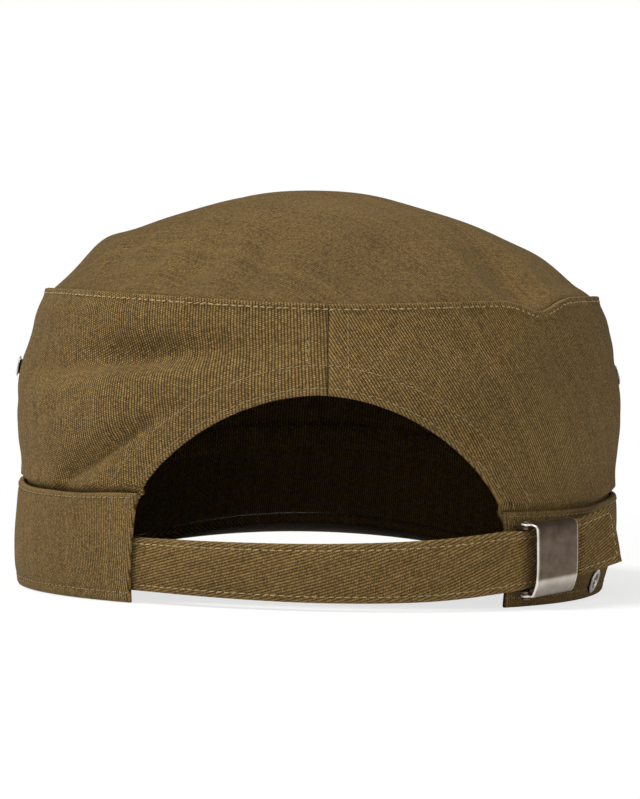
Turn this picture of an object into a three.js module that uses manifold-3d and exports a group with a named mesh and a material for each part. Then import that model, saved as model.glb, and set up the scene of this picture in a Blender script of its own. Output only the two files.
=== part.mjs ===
// A soft twill cadet cap with a flat-topped crown puffed out as if worn, a band, a stiff peak, and a
// strap across the rear opening that is held by a metal clasp with a hinged lever.
//
// Millimetres, +Z up. The peak points to -Y and the rear opening faces +Y. The sheet is modelled
// around the middle of the head opening, and the finished group is then moved so that its origin is
// the middle of the bottom of its bounding box.
//
// A place on the crown is given by its turn and its height. The turn is the angle in degrees from
// the middle of the back, positive towards +X, which is the wearer's left.

import * as THREE from "three";
import { mergeVertices } from "three/addons/utils/BufferGeometryUtils.js";
import Module from "manifold-3d";

const wasm = await Module();
wasm.setup();

const { degToRad, radToDeg, lerp, clamp, smoothstep } = THREE.MathUtils;

// Crown outline, seen from above: half a width, and the lengths behind and before the middle
const crownHalfWidth = 93.5;
const crownBack = 99;
const crownFront = 104;

// Heights of the seam between the side walls and the top panel, and of the dome above it
const seamHeightBack = 85.6;
const seamHeightSide = 91;
const seamHeightFront = 97.5;
const seamRisePower = 1.6;
const domeRise = 31.2;
const domePower = 2.6;

// Cloth thicknesses, and the gap left between two pieces that are sewn together
const crownCloth = 1.2;
const bandCloth = 2.0;
const strapCloth = 2.0;
const sewnGap = 0.3;

// Band: its height, how far the crown wall reaches down behind it, and the turn of its two ends
const bandHeight = 32.6;
const wallTuck = 6;
const wallTuckBlend = 2;
const bandEndLeft = { top: 35.4, bottom: 36.6 };
const bandEndRight = { top: -33.2, bottom: -34.6 };

// Rear opening: an upright half ellipse, a little less full at its shoulders where the power is under 2
const openingHalfWidth = 58.8;
const openingMiddle = 2.2;
const openingTop = 60;
const openingCentreHeight = 7.8;
const openingFullness = 1.85;

// Seams in the side wall: the middle of the back, and where the front panel starts
const backSeamTurn = 0;
const frontSeamTurn = 102;
const topPanelFlange = 5;

// Peak: turn from the middle of the front to its ends, reach, thickness and arch
const peakHalfTurn = 60;
const peakReach = 66;
const peakThickness = 3.6;
const peakArch = 14;
const peakSag = 0.5;
const peakEndWidth = 3;
const peakCorner = 0.82;
const peakNotch = 0.7;
const peakRootEase = 1.1;
const peakGap = 0.65;

// Strap and clasp
const strapWidth = 17;
const strapSewnTurn = 43;
const strapEase = 0.5;
const strapTail = 23.5;
const tailTwist = 14;
const tailRise = 0.18;
const claspTilt = 4.5;
const claspTurn = -41.1;
const claspMiddleHeight = 14.8;
const claspLength = 18.2;
const claspSheet = 0.7;
const claspSideGap = 0.4;
const claspArch = 2.4;
const cheekLength = 3.2;
const coverPastRivet = 0.2;
const strapStraightBefore = 2;
const rivetRadius = 0.7;
const rivetAboveStrap = 0.6;
const rivetFromEdge = 0.75;
const rivetHead = { radius: 1.2, gap: 0.25, thickness: 0.45 };
const rivetPlay = 0.32;
const earRadius = 1.4;

// Metal eyelets: one on the band beside the strap, and one for air in each side wall
const eyeletBarrel = 0.45;
const eyeletSheet = 0.6;
const eyeletFaceGap = 0.4;
const eyeletBackGap = 0.6;
const bandEyelet = { turn: -65.5, height: 5.4, hole: 2.1, flange: 3.9 };
const ventEyelet = { turn: 88, height: 66.8, hole: 1.7, flange: 3.2 };

// How finely the curved sheets are divided
const turnStep = 4.6;
const wallRows = 7;
const domeRings = 8;

// Upright section of the cap: height as a share of the seam height, and the width or length there as
// a share of the crown's, at the sides, the back and the front
const sections = [
  { height: 0.0, side: 0.985, back: 0.99, front: 0.985 },
  { height: 0.08, side: 1.0, back: 1.0, front: 0.995 },
  { height: 0.16, side: 1.003, back: 1.003, front: 1.0 },
  { height: 0.25, side: 0.998, back: 1.002, front: 1.0 },
  { height: 0.34, side: 0.988, back: 0.997, front: 0.995 },
  { height: 0.41, side: 0.981, back: 0.993, front: 0.99 },
  { height: 0.5, side: 0.992, back: 0.997, front: 0.992 },
  { height: 0.58, side: 0.999, back: 0.998, front: 0.993 },
  { height: 0.66, side: 0.998, back: 0.994, front: 0.992 },
  { height: 0.74, side: 0.99, back: 0.984, front: 0.988 },
  { height: 0.8, side: 0.979, back: 0.972, front: 0.982 },
  { height: 0.86, side: 0.965, back: 0.959, front: 0.974 },
  { height: 0.93, side: 0.946, back: 0.944, front: 0.962 },
  { height: 1.0, side: 0.913, back: 0.928, front: 0.945 },
];

// Dents in the side wall: turn and share of the seam height of the middle, the spread each way, the
// depth as a share of the crown's half width, and how far the dent climbs per degree of turn. A
// depth below zero is a bulge, here and in the gathers.
const wallDents = [
  { turn: 55, height: 0.84, turnSpread: 36, heightSpread: 0.075, depth: 0.026, climb: 0 },
  { turn: 45, height: 0.47, turnSpread: 13, heightSpread: 0.06, depth: 0.022, climb: -0.0084 },
  { turn: -58, height: 0.76, turnSpread: 9, heightSpread: 0.16, depth: 0.013, climb: 0.002 },
  { turn: -74, height: 0.0, turnSpread: 30, heightSpread: 0.17, depth: 0.045, climb: 0 },
  { turn: 150, height: 0.62, turnSpread: 16, heightSpread: 0.12, depth: 0.012, climb: 0.004 },
  { turn: -146, height: 0.7, turnSpread: 14, heightSpread: 0.1, depth: 0.012, climb: -0.004 },
  { turn: 92, height: 1.0, turnSpread: 34, heightSpread: 0.12, depth: 0.012, climb: 0 },
  { turn: -95, height: 0.77, turnSpread: 25, heightSpread: 0.05, depth: 0.009, climb: 0 },
  { turn: -95, height: 0.45, turnSpread: 30, heightSpread: 0.08, depth: -0.009, climb: 0 },
];

// Where the seam round the top sags or lifts: the drop is a share of the seam height
const seamDips = [
  { turn: -46, turnSpread: 6.5, drop: 0.042 },
  { turn: -118, turnSpread: 10, drop: 0.012 },
  { turn: 128, turnSpread: 12, drop: 0.01 },
];

// Gathers of the top panel above the seam: turn, spread, the share of the way out from the middle
// where each is deepest, how far it spreads there, and its depth as a share of the dome's rise
const topGathers = [
  { turn: -92, turnSpread: 42, out: 0.72, outSpread: 0.3, depth: 0.09 },
  { turn: 31, turnSpread: 5.5, out: 0.86, outSpread: 0.15, depth: 0.075 },
  { turn: 15, turnSpread: 5.5, out: 0.8, outSpread: 0.2, depth: 0.06 },
  { turn: 50, turnSpread: 6, out: 0.86, outSpread: 0.14, depth: 0.05 },
  { turn: -12, turnSpread: 6, out: 0.86, outSpread: 0.14, depth: 0.035 },
  { turn: -43, turnSpread: 7, out: 0.88, outSpread: 0.16, depth: 0.085 },
  { turn: -66, turnSpread: 7, out: 0.85, outSpread: 0.13, depth: 0.04 },
  { turn: 74, turnSpread: 7, out: 0.85, outSpread: 0.13, depth: 0.05 },
  { turn: 104, turnSpread: 8, out: 0.86, outSpread: 0.14, depth: 0.045 },
  { turn: 142, turnSpread: 9, out: 0.88, outSpread: 0.13, depth: 0.035 },
  { turn: -98, turnSpread: 8, out: 0.86, outSpread: 0.14, depth: 0.045 },
  { turn: -134, turnSpread: 9, out: 0.88, outSpread: 0.13, depth: 0.04 },
  { turn: 178, turnSpread: 9, out: 0.9, outSpread: 0.12, depth: 0.03 },
  { turn: 92, turnSpread: 36, out: 0.5, outSpread: 0.2, depth: 0.06 },
  { turn: 86, turnSpread: 22, out: 0.82, outSpread: 0.09, depth: -0.1 },
  { turn: -92, turnSpread: 42, out: 0.4, outSpread: 0.2, depth: 0.065 },
  { turn: -88, turnSpread: 24, out: 0.82, outSpread: 0.1, depth: -0.05 },
];

// Strap across the opening: turn, height of its middle and its width, as shares of the strap's width
const strapStations = [
  { turn: strapSewnTurn, middle: 0.64, width: 0.93 },
  { turn: bandEndLeft.top, middle: 0.64, width: 0.94 },
  { turn: 18, middle: 0.62, width: 0.96 },
  { turn: 0, middle: 0.62, width: 0.98 },
  { turn: -18, middle: 0.68, width: 1.0 },
  { turn: bandEndRight.top, middle: 0.81, width: 1.0 },
  { turn: claspTurn, middle: claspMiddleHeight / strapWidth, width: 1.0 },
];

// Section of the lever's cover across the strap: the place as a share of half its height, and how
// far it stands out there as a share of the arch
const coverSection = [
  { up: -1, out: 0 },
  { up: -0.94, out: 0.25 },
  { up: -0.62, out: 0.82 },
  { up: -0.2, out: 1 },
  { up: 0.4, out: 1 },
  { up: 0.84, out: 0.93 },
  { up: 0.97, out: 0.6 },
  { up: 1, out: 0 },
];

// A smooth hump that is 1 where the offset is 0 and fades out over the spread
const hump = (offset, spread) => Math.exp(-((offset / spread) ** 2));

// The shortest way round from one turn to another, in degrees
const turnBetween = (from, to) => THREE.MathUtils.euclideanModulo(to - from + 180, 360) - 180;

// The value of one column of a table at a place along another column, by a monotone blend of rows
function fromTable(rows, along, column, place) {
  const rising = rows[rows.length - 1][along] > rows[0][along];
  const last = rows.length - 1;
  let i = 0;
  while (i < last - 1 && (rising ? place > rows[i + 1][along] : place < rows[i + 1][along])) i += 1;
  const slopeAt = (k) => {
    const before = Math.max(k - 1, 0);
    const after = Math.min(k + 1, last);
    return (rows[after][column] - rows[before][column]) / (rows[after][along] - rows[before][along]);
  };
  const span = rows[i + 1][along] - rows[i][along];
  const share = clamp((place - rows[i][along]) / span, 0, 1);
  const square = share * share;
  const cube = square * share;
  return (
    (2 * cube - 3 * square + 1) * rows[i][column] +
    (cube - 2 * square + share) * span * slopeAt(i) +
    (3 * square - 2 * cube) * rows[i + 1][column] +
    (cube - square) * span * slopeAt(i + 1)
  );
}

// Height of the seam round the top before its sags
function seamLevel(turn) {
  const toBack = Math.cos(degToRad(turn));
  const toSide = Math.abs(Math.sin(degToRad(turn))) ** seamRisePower;
  return lerp(toBack > 0 ? seamHeightBack : seamHeightFront, seamHeightSide, toSide);
}

// Height of the seam round the top, with its sags
function seamHeight(turn) {
  const sag = seamDips.reduce(
    (sum, dip) => sum + dip.drop * hump(turnBetween(dip.turn, turn), dip.turnSpread),
    0,
  );
  return seamLevel(turn) * (1 - sag);
}

// A point on the outside of the cap's side wall
function wallPoint(turn, height) {
  const angle = degToRad(turn);
  const share = clamp(height / seamHeight(turn), 0, 1);
  const toBack = Math.cos(angle);
  const toSide = Math.sin(angle);
  const ends = toBack > 0 ? "back" : "front";
  const endShare = fromTable(sections, "height", ends, share);
  const sideShare = fromTable(sections, "height", "side", share);
  const blended = lerp(sideShare, endShare, toBack * toBack);
  const dent = wallDents.reduce((sum, row) => {
    const along = turnBetween(row.turn, turn);
    const across = share - row.height - row.climb * along;
    return sum + row.depth * hump(along, row.turnSpread) * hump(across, row.heightSpread);
  }, 0);
  const size = blended - dent;
  const length = toBack > 0 ? crownBack : crownFront;
  return new THREE.Vector3(crownHalfWidth * size * toSide, length * size * toBack, height);
}

// The outward normal of the side wall, and the directions along and up it
function wallFrame(turn, height) {
  const small = 0.5;
  const ahead = wallPoint(turn + small, height).sub(wallPoint(turn - small, height));
  const above = wallPoint(turn, height + small).sub(wallPoint(turn, Math.max(height - small, 0)));
  const out = new THREE.Vector3().crossVectors(above, ahead).normalize();
  const up = above.normalize();
  const along = new THREE.Vector3().crossVectors(out, up).normalize();
  return { at: wallPoint(turn, height), out, up, along };
}

// Height of the band's upper edge, which droops beside the rear opening
const bandTops = [
  { turn: -180, height: bandHeight },
  { turn: -130, height: bandHeight },
  { turn: -95, height: 31.0 },
  { turn: -74, height: 29.9 },
  { turn: -58, height: 28.0 },
  { turn: -33, height: 27.7 },
  { turn: 35, height: 31.4 },
  { turn: 52, height: 30.7 },
  { turn: 72, height: 31.0 },
  { turn: 92, height: 32.8 },
  { turn: 130, height: bandHeight },
  { turn: 180, height: bandHeight },
];
const bandTop = (turn) => fromTable(bandTops, "turn", "height", turnBetween(0, turn))
  + frontLift(turn);

// Height of the rear opening's edge above a place this far to the side
function openingEdge(turn) {
  const aside = Math.abs(wallPoint(turn, openingTop).x - openingMiddle) / openingHalfWidth;
  const rise = openingTop - openingCentreHeight;
  const share = (1 - Math.min(aside, 1) ** openingFullness) ** (1 / openingFullness);
  return aside < 1 ? openingCentreHeight + rise * share : 0;
}

// Peak: its root follows the band's lower edge from end to end
const frontEndPoint = wallPoint(180 - peakHalfTurn, 0);
const peakRootHalfWidth = frontEndPoint.x;

// How far the peak's arch lifts the underside at this distance from the middle and share outwards
function peakLift(aside, outShare) {
  const across = clamp(1 - (aside / peakRootHalfWidth) ** 2, 0, 1);
  return peakArch * across * (1 - peakSag * outShare);
}

// How far the arched peak lifts the cloth above it at the front
function frontLift(turn) {
  const aside = wallPoint(turn, 0).x;
  return Math.cos(degToRad(turn)) < 0 ? peakLift(aside, 0) : 0;
}

// The band's lower edge: on the ground, or on the peak's upper side
function rimHeight(turn) {
  const fromFront = Math.abs(turnBetween(180, turn));
  return fromFront <= peakHalfTurn ? frontLift(turn) + peakThickness + peakGap : 0;
}

// The crown wall lies behind the band where they overlap, and comes out above it
function wallInset(turn, height) {
  const above = height - bandTop(turn) - sewnGap;
  return (bandCloth + sewnGap) * (1 - smoothstep(above, 0, wallTuckBlend));
}

// A point this deep under the outside of the side wall
function wallDepth(turn, height, depth) {
  const { at, out } = wallFrame(turn, height);
  return at.addScaledVector(out, -depth);
}

const crownWallPoint = (turn, height) => wallDepth(turn, height, wallInset(turn, height));

// A point on the part of the top panel that is turned down inside the wall
const topEdgePoint = (turn, below) =>
  wallDepth(turn, seamHeight(turn) - below, crownCloth + sewnGap);

// A point on the top panel: out runs from 0 in the middle to 1 at the seam
function topPoint(turn, out) {
  const edge = topEdgePoint(turn, 0);
  const middle = (crownBack * sections[sections.length - 1].back -
    crownFront * sections[sections.length - 1].front) / 2;
  const middleLevel = (seamHeightBack + seamHeightFront) / 2;
  const level = lerp(middleLevel, seamLevel(turn), out * out);
  const seamSag = (edge.z - seamLevel(turn)) * smoothstep(out, 0.6, 1);
  const gather = topGathers.reduce((sum, row) => {
    const spread = row.turnSpread / Math.max(out, 0.3);
    const beside = hump(turnBetween(row.turn, turn), spread);
    return sum + row.depth * beside * hump(out - row.out, row.outSpread);
  }, 0);
  const fade = 1 - smoothstep(out, 0.93, 1);
  const rise = domeRise * (1 - out ** domePower - gather * fade);
  return new THREE.Vector3(edge.x * out, lerp(middle, edge.y, out), level + seamSag + rise);
}

// A closed mesh from points and triangles
function meshOf(points, triangles) {
  const geometry = new THREE.BufferGeometry();
  geometry.setAttribute("position", new THREE.Float32BufferAttribute(points.flatMap((p) => [...p]), 3));
  geometry.setIndex(triangles.flat());
  return geometry;
}

// The normal of a grid of points at one of them, from its neighbours. Its columns go right round.
function gridNormal(grid, i, j) {
  const count = grid.length;
  const before = grid[(i - 1 + count) % count];
  const after = grid[(i + 1) % count];
  const lower = grid[i][Math.max(j - 1, 0)];
  const upper = grid[i][Math.min(j + 1, grid[i].length - 1)];
  const across = after[j].clone().sub(before[j]);
  const up = upper.clone().sub(lower);
  return across.cross(up).normalize();
}

// A sheet between two grids of points, whose columns run along it and whose rows run across it. The
// outer grid's face points the way of the columns' direction crossed with the rows' direction.
function sheetBetween(outerGrid, innerGrid) {
  const columns = outerGrid.length;
  const rows = outerGrid[0].length;
  const outside = (i, j) => i * rows + j;
  const inside = (i, j) => columns * rows + i * rows + j;
  const triangles = [];
  const quad = (a, b, c, d) => triangles.push([a, b, c], [a, c, d]);
  for (let i = 0; i < columns - 1; i += 1) {
    for (let j = 0; j < rows - 1; j += 1) {
      quad(outside(i, j), outside(i + 1, j), outside(i + 1, j + 1), outside(i, j + 1));
      quad(inside(i, j), inside(i, j + 1), inside(i + 1, j + 1), inside(i + 1, j));
    }
    quad(outside(i, 0), inside(i, 0), inside(i + 1, 0), outside(i + 1, 0));
    const top = rows - 1;
    quad(outside(i, top), outside(i + 1, top), inside(i + 1, top), inside(i, top));
  }
  for (let j = 0; j < rows - 1; j += 1) {
    const end = columns - 1;
    quad(outside(0, j), outside(0, j + 1), inside(0, j + 1), inside(0, j));
    quad(outside(end, j), inside(end, j), inside(end, j + 1), outside(end, j + 1));
  }
  return meshOf([...outerGrid.flat(), ...innerGrid.flat()], triangles);
}

// A sheet that follows the side wall. Each place in its grid has a turn, a height and the depth of
// its outer face under the outside of the wall. Its lower edge is cut level.
function wallSheet(places, thickness) {
  const leftwards = [...places].reverse();
  const face = (below) => leftwards.map((column) =>
    column.map(({ turn, height, depth }) => wallDepth(turn, height, depth + below)));
  const outer = face(0);
  const inner = face(thickness);
  inner.forEach((column, i) => column[0].setZ(outer[i][0].z));
  return sheetBetween(outer, inner);
}

const solidOf = (geometry) => {
  const bare = geometry.clone();
  bare.deleteAttribute("normal");
  bare.deleteAttribute("uv");
  const merged = mergeVertices(bare, 1e-4);
  return new wasm.Manifold(new wasm.Mesh({
    numProp: 3,
    vertProperties: new Float32Array(merged.attributes.position.array),
    triVerts: new Uint32Array(merged.index.array),
  }));
};

const geometryOf = (solid) => {
  const { vertProperties, triVerts, numProp } = solid.getMesh();
  const count = vertProperties.length / numProp;
  const points = Array.from({ length: count }, (_, i) =>
    new THREE.Vector3(...vertProperties.subarray(i * numProp, i * numProp + 3)));
  const triangles = Array.from({ length: triVerts.length / 3 }, (_, i) =>
    [...triVerts.subarray(i * 3, i * 3 + 3)]);
  return meshOf(points, triangles);
};

// The turns at which every sheet round the head has a column, so that their facets lie in step.
// They start at the middle of the back, and hold every place where a piece begins or ends.
const crownTurns = (() => {
  const peakStart = 180 - peakHalfTurn;
  const marks = [
    backSeamTurn, bandEndLeft.top, frontSeamTurn, peakStart - peakNotch, peakStart,
    360 - peakStart, 360 - peakStart + peakNotch, 360 - frontSeamTurn, 360 + bandEndRight.top,
    360 + backSeamTurn,
  ];
  return marks.slice(1).flatMap((mark, i) => {
    const count = Math.max(1, Math.round((mark - marks[i]) / turnStep));
    return Array.from({ length: count }, (_, k) => lerp(marks[i], mark, k / count));
  });
})();

// The columns of a sheet that starts and ends at two of these turns
function turnsBetween(from, to) {
  const round = [-360, 0, 360].flatMap((shift) => crownTurns.map((turn) => turn + shift));
  return [from, ...round.filter((turn) => turn > from + 0.2 && turn < to - 0.2), to];
}

// The band's ends are cut on a slight slant
const bandEndTurn = (end, height) => lerp(end.bottom, end.top, clamp(height / bandHeight, 0, 1));

// One column of the crown wall, from its lower edge to the seam
function wallColumn(turn) {
  const top = seamHeight(turn);
  const aside = turnBetween(0, turn);
  const open = aside < bandEndLeft.top - 0.1 && aside > bandEndRight.top + 0.1;
  const edge = openingEdge(turn);
  const cleared = bandTop(turn) + sewnGap;
  const firstRows = open
    ? [edge, edge + wallTuckBlend / 2, edge + wallTuckBlend]
    : [bandTop(turn) - wallTuck, cleared, cleared + wallTuckBlend];
  const turnedDown = top - topPanelFlange;
  const rows = Array.from({ length: wallRows }, (_, k) =>
    lerp(firstRows[2], turnedDown, (k + 1) / wallRows));
  return [...firstRows, ...rows, top].map((height) =>
    ({ turn, height, depth: wallInset(turn, height) }));
}

// Half of the gap of a seam between two walls, as a turn
const seamHalfTurn = radToDeg(sewnGap / 2 / crownBack);

function sidePanel(from, to) {
  const turns = turnsBetween(from + seamHalfTurn, to - seamHalfTurn);
  return wallSheet(turns.map(wallColumn), crownCloth);
}

// The top panel: a dome whose edge turns down inside the side wall
function topPanel() {
  const spokes = crownTurns;
  const count = spokes.length;
  const rings = Array.from({ length: domeRings }, (_, k) => ((k + 1) / domeRings) ** 0.8);
  const grid = spokes.map((turn) => [
    ...rings.map((out) => topPoint(turn, out)),
    topEdgePoint(turn, topPanelFlange),
  ]);
  const rows = grid[0].length;
  const pole = topPoint(0, 0);
  const outer = grid.flat();
  const inner = grid.flatMap((column, i) =>
    column.map((p, j) => p.clone().addScaledVector(gridNormal(grid, i, j), -crownCloth)));
  const points = [...outer, ...inner, pole, pole.clone().add(new THREE.Vector3(0, 0, -crownCloth))];
  const outside = (i, j) => (i % count) * rows + j;
  const inside = (i, j) => count * rows + outside(i, j);
  const poleOutside = 2 * count * rows;
  const poleInside = poleOutside + 1;
  const triangles = [];
  const quad = (a, b, c, d) => triangles.push([a, b, c], [a, c, d]);
  for (let i = 0; i < count; i += 1) {
    triangles.push([poleOutside, outside(i + 1, 0), outside(i, 0)]);
    triangles.push([poleInside, inside(i, 0), inside(i + 1, 0)]);
    for (let j = 0; j < rows - 1; j += 1) {
      quad(outside(i, j), outside(i + 1, j), outside(i + 1, j + 1), outside(i, j + 1));
      quad(inside(i, j), inside(i, j + 1), inside(i + 1, j + 1), inside(i + 1, j));
    }
    const edge = rows - 1;
    quad(outside(i, edge), outside(i + 1, edge), inside(i + 1, edge), inside(i, edge));
  }
  return meshOf(points, triangles);
}

// The band, from one side of the opening round the front to the other
function band() {
  const turns = turnsBetween(bandEndLeft.top, 360 + bandEndRight.top);
  const shares = [0, 0.18, 0.42, 0.7, 1];
  const last = turns.length - 1;
  return wallSheet(turns.map((turn, i) => {
    const tuck = bandTop(turn) - wallTuck;
    const heights = [...shares.map((share) => lerp(rimHeight(turn), tuck, share)), bandTop(turn)];
    const end = { 0: bandEndLeft, [last]: bandEndRight }[i];
    return heights.map((height) =>
      ({ turn: end ? bandEndTurn(end, height) : turn, height, depth: 0 }));
  }), bandCloth);
}

// The peak: a stiff arched plate that starts under the band and ends in a rounded edge
function peak() {
  const columns = 28;
  const outShares = [0, 0.04, 0.2, 0.42, 0.64, 0.84, 1];
  const rootEnd = wallPoint(180 - peakHalfTurn, 0);
  const front = -crownFront * sections[0].front;
  const length = rootEnd.y - (front - peakReach);
  const halfWidth = peakRootHalfWidth + peakEndWidth;
  const grid = Array.from({ length: columns + 1 }, (_, i) => {
    const share = (2 * i) / columns - 1;
    const root = wallDepth(180 + (peakHalfTurn - peakRootEase) * share, peakThickness, bandCloth);
    const swing = (share * Math.PI) / 2;
    const edge = new THREE.Vector3(
      -halfWidth * Math.sin(swing),
      rootEnd.y - length * Math.max(Math.cos(swing), 0) ** peakCorner,
      0,
    );
    return outShares.map((outward) => {
      const place = root.clone().lerp(edge, outward);
      place.z = peakThickness + peakLift(place.x, outward);
      return place;
    });
  });
  const rows = outShares.length;
  const bevel = peakThickness / 3;
  const ring = (column) => {
    const upper = column;
    const lower = column.map((p) => p.clone().setZ(p.z - peakThickness));
    const tip = column[rows - 1];
    const outward = tip.clone().sub(column[rows - 2]).setZ(0).normalize();
    const nose = tip.clone().addScaledVector(outward, bevel);
    return [
      ...upper,
      nose.clone().setZ(tip.z - bevel),
      nose.clone().setZ(tip.z - 2 * bevel),
      ...lower.reverse(),
    ];
  };
  return loft(grid.map(ring));
}

// A solid through closed rings of points, each with the same number of points in the same order.
// Its ends are closed by strips between the first and second halves of the end rings.
function loft(rings) {
  const size = rings[0].length;
  const at = (i, j) => i * size + ((j + size) % size);
  const triangles = [];
  for (let i = 0; i < rings.length - 1; i += 1) {
    for (let j = 0; j < size; j += 1) {
      triangles.push([at(i, j), at(i + 1, j), at(i + 1, j + 1)]);
      triangles.push([at(i, j), at(i + 1, j + 1), at(i, j + 1)]);
    }
  }
  const end = rings.length - 1;
  for (let j = 0; j < size / 2 - 1; j += 1) {
    const far = size - 1 - j;
    triangles.push([at(0, j), at(0, j + 1), at(0, far - 1)]);
    triangles.push([at(0, j), at(0, far - 1), at(0, far)]);
    triangles.push([at(end, j), at(end, far - 1), at(end, j + 1)]);
    triangles.push([at(end, j), at(end, far), at(end, far - 1)]);
  }
  return meshOf(rings.flat(), triangles);
}

// The clasp lies on the band. Its own axes: -X along the strap towards the tail, +Y out from the
// band, +Z up the strap's width, with the strap's middle plane at Y 0.
const claspSeat = wallFrame(claspTurn, claspMiddleHeight);
const strapAboveBand = sewnGap + claspSheet + sewnGap + strapCloth / 2;
const claspOrigin = claspSeat.at.clone().addScaledVector(claspSeat.out, strapAboveBand);
const claspMatrix = new THREE.Matrix4()
  .makeBasis(claspSeat.along, claspSeat.out, claspSeat.up)
  .multiply(new THREE.Matrix4().makeRotationY(degToRad(claspTilt)))
  .setPosition(claspOrigin);

const earInner = strapWidth / 2 + claspSideGap;
const earOuter = earInner + claspSheet;
const leverInner = earOuter + sewnGap;
const leverOuter = leverInner + claspSheet;
const rivetAlong = claspLength / 2 - rivetFromEdge;
const leverEdgeOut = rivetAboveStrap + earRadius + sewnGap;

// The strap's sections, each with a function that gives a place on it from its share of the
// thickness and of the width. They follow the wall up to the clasp, and then run straight through
// it to the end of the tail.
function strapSections() {
  const wallSteps = 24;
  const straightSteps = 10;
  const inside = -(bandCloth + strapEase + strapCloth / 2);
  const lastTurn = claspTurn + 9;
  const onTheWall = Array.from({ length: wallSteps + 1 }, (_, i) => {
    const turn = lerp(strapSewnTurn, lastTurn, i / wallSteps);
    const middle = strapWidth * fromTable(strapStations, "turn", "middle", turn);
    const width = strapWidth * fromTable(strapStations, "turn", "width", turn);
    const crossing = 1 - smoothstep(turn, bandEndRight.top + 2, bandEndLeft.top);
    const away = lerp(inside, strapAboveBand, crossing);
    return (deep, across) =>
      wallDepth(turn, middle + across * width, -(away + deep * strapCloth));
  });
  const straightFrom = -claspLength / 2 - strapStraightBefore;
  const straightTo = claspLength / 2 + strapTail;
  const straight = Array.from({ length: straightSteps + 1 }, (_, i) => {
    const along = lerp(straightFrom, straightTo, i / straightSteps);
    const past = Math.max(along - claspLength / 2, 0) / strapTail;
    const rise = strapWidth * tailRise * past;
    const twist = degToRad(tailTwist * past * past);
    return (deep, across) => new THREE.Vector3(0, deep * strapCloth, across * strapWidth)
      .applyAxisAngle(new THREE.Vector3(1, 0, 0), twist)
      .add(new THREE.Vector3(-along, 0, rise))
      .applyMatrix4(claspMatrix);
  });
  return [...onTheWall, ...straight];
}

function strap() {
  const across = [-0.5, -0.17, 0.17, 0.5];
  return loft(strapSections().map((place) => [
    ...across.map((share) => place(0.5, share)),
    ...[...across].reverse().map((share) => place(-0.5, share)),
  ]));
}

// An outline in the clasp's X and Y, made solid between two heights
function uprightPlate(outline, from, to) {
  const shape = new THREE.Shape(outline.map(([x, y]) => new THREE.Vector2(x, y)));
  const geometry = new THREE.ExtrudeGeometry(shape, { depth: to - from, bevelEnabled: false });
  return geometry.translate(0, 0, from);
}

// Points on an arc about a centre, from one angle to another in degrees
const arcPoints = (x, y, radius, from, to, count) =>
  Array.from({ length: count + 1 }, (_, i) => {
    const angle = degToRad(lerp(from, to, i / count));
    return [x + radius * Math.cos(angle), y + radius * Math.sin(angle)];
  });

const baseInner = -strapCloth / 2 - sewnGap - claspSheet;
const baseOuter = baseInner + claspSheet;

// A round-ended ear that stands up from the base plate and carries a rivet
function earOutline() {
  return [
    [rivetAlong - 3 * earRadius, baseInner],
    [rivetAlong + earRadius, baseInner],
    ...arcPoints(rivetAlong, rivetAboveStrap, earRadius, 0, 180, 8),
    [rivetAlong - 3 * earRadius, baseOuter + claspSheet],
  ];
}

// A round bar on the lever's axis, between two places across the strap
function roundBar(radius, from, to, sides = 16) {
  const bar = new THREE.CylinderGeometry(radius, radius, to - from, sides);
  return bar.rotateX(Math.PI / 2).translate(rivetAlong, rivetAboveStrap, (from + to) / 2);
}

function claspBase() {
  const plate = new THREE.BoxGeometry(claspLength - 1, claspSheet, 2 * earOuter)
    .translate(0, (baseInner + baseOuter) / 2, 0);
  const ears = [[earInner, earOuter], [-earOuter, -earInner]]
    .map(([from, to]) => solidOf(uprightPlate(earOutline(), from, to)));
  const rivetHole = solidOf(roundBar(rivetRadius + rivetPlay, -leverOuter, leverOuter));
  return geometryOf(ears.reduce((sum, ear) => sum.add(ear), solidOf(plate)).subtract(rivetHole));
}

// A rivet that joins an ear to a cheek, with its head outside: side is 1 above the strap, -1 below
function claspRivet(side) {
  const headInside = leverOuter + rivetHead.gap;
  const headOutside = headInside + rivetHead.thickness;
  const bar = (radius, from, to) => solidOf(side > 0
    ? roundBar(radius, from, to)
    : roundBar(radius, -to, -from));
  const shank = bar(rivetRadius, earInner, headOutside);
  return geometryOf(shank.add(bar(rivetHead.radius, headInside, headOutside)));
}

// The lever: a cover arched across the strap, with a cheek at each end that turns on a rivet
function claspLever() {
  const rivetEdge = rivetAlong + coverPastRivet;
  const tailEdge = -claspLength / 2;
  const arched = (offset) => coverSection.map((row) =>
    [row.up * leverOuter, leverEdgeOut + claspArch * row.out + offset]);
  const cover = loft([rivetEdge, tailEdge].map((x) => [
    ...arched(claspSheet).map(([up, out]) => new THREE.Vector3(x, out, up)),
    ...arched(0).reverse().map(([up, out]) => new THREE.Vector3(x, out, up)),
  ]));
  const cheekOutline = [
    ...arcPoints(rivetAlong, rivetAboveStrap, earRadius, -120, 0, 6),
    [rivetEdge, leverEdgeOut + claspSheet / 2],
    [tailEdge, leverEdgeOut + claspSheet / 2],
    [tailEdge, leverEdgeOut],
    [rivetAlong - cheekLength, rivetAboveStrap],
  ];
  const cheeks = [[leverInner, leverOuter], [-leverOuter, -leverInner]]
    .map(([from, to]) => solidOf(uprightPlate(cheekOutline, from, to)));
  const hole = solidOf(roundBar(rivetRadius + rivetPlay, -leverOuter - 1, leverOuter + 1));
  return geometryOf(cheeks.reduce((sum, cheek) => sum.add(cheek), solidOf(cover)).subtract(hole));
}

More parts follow.
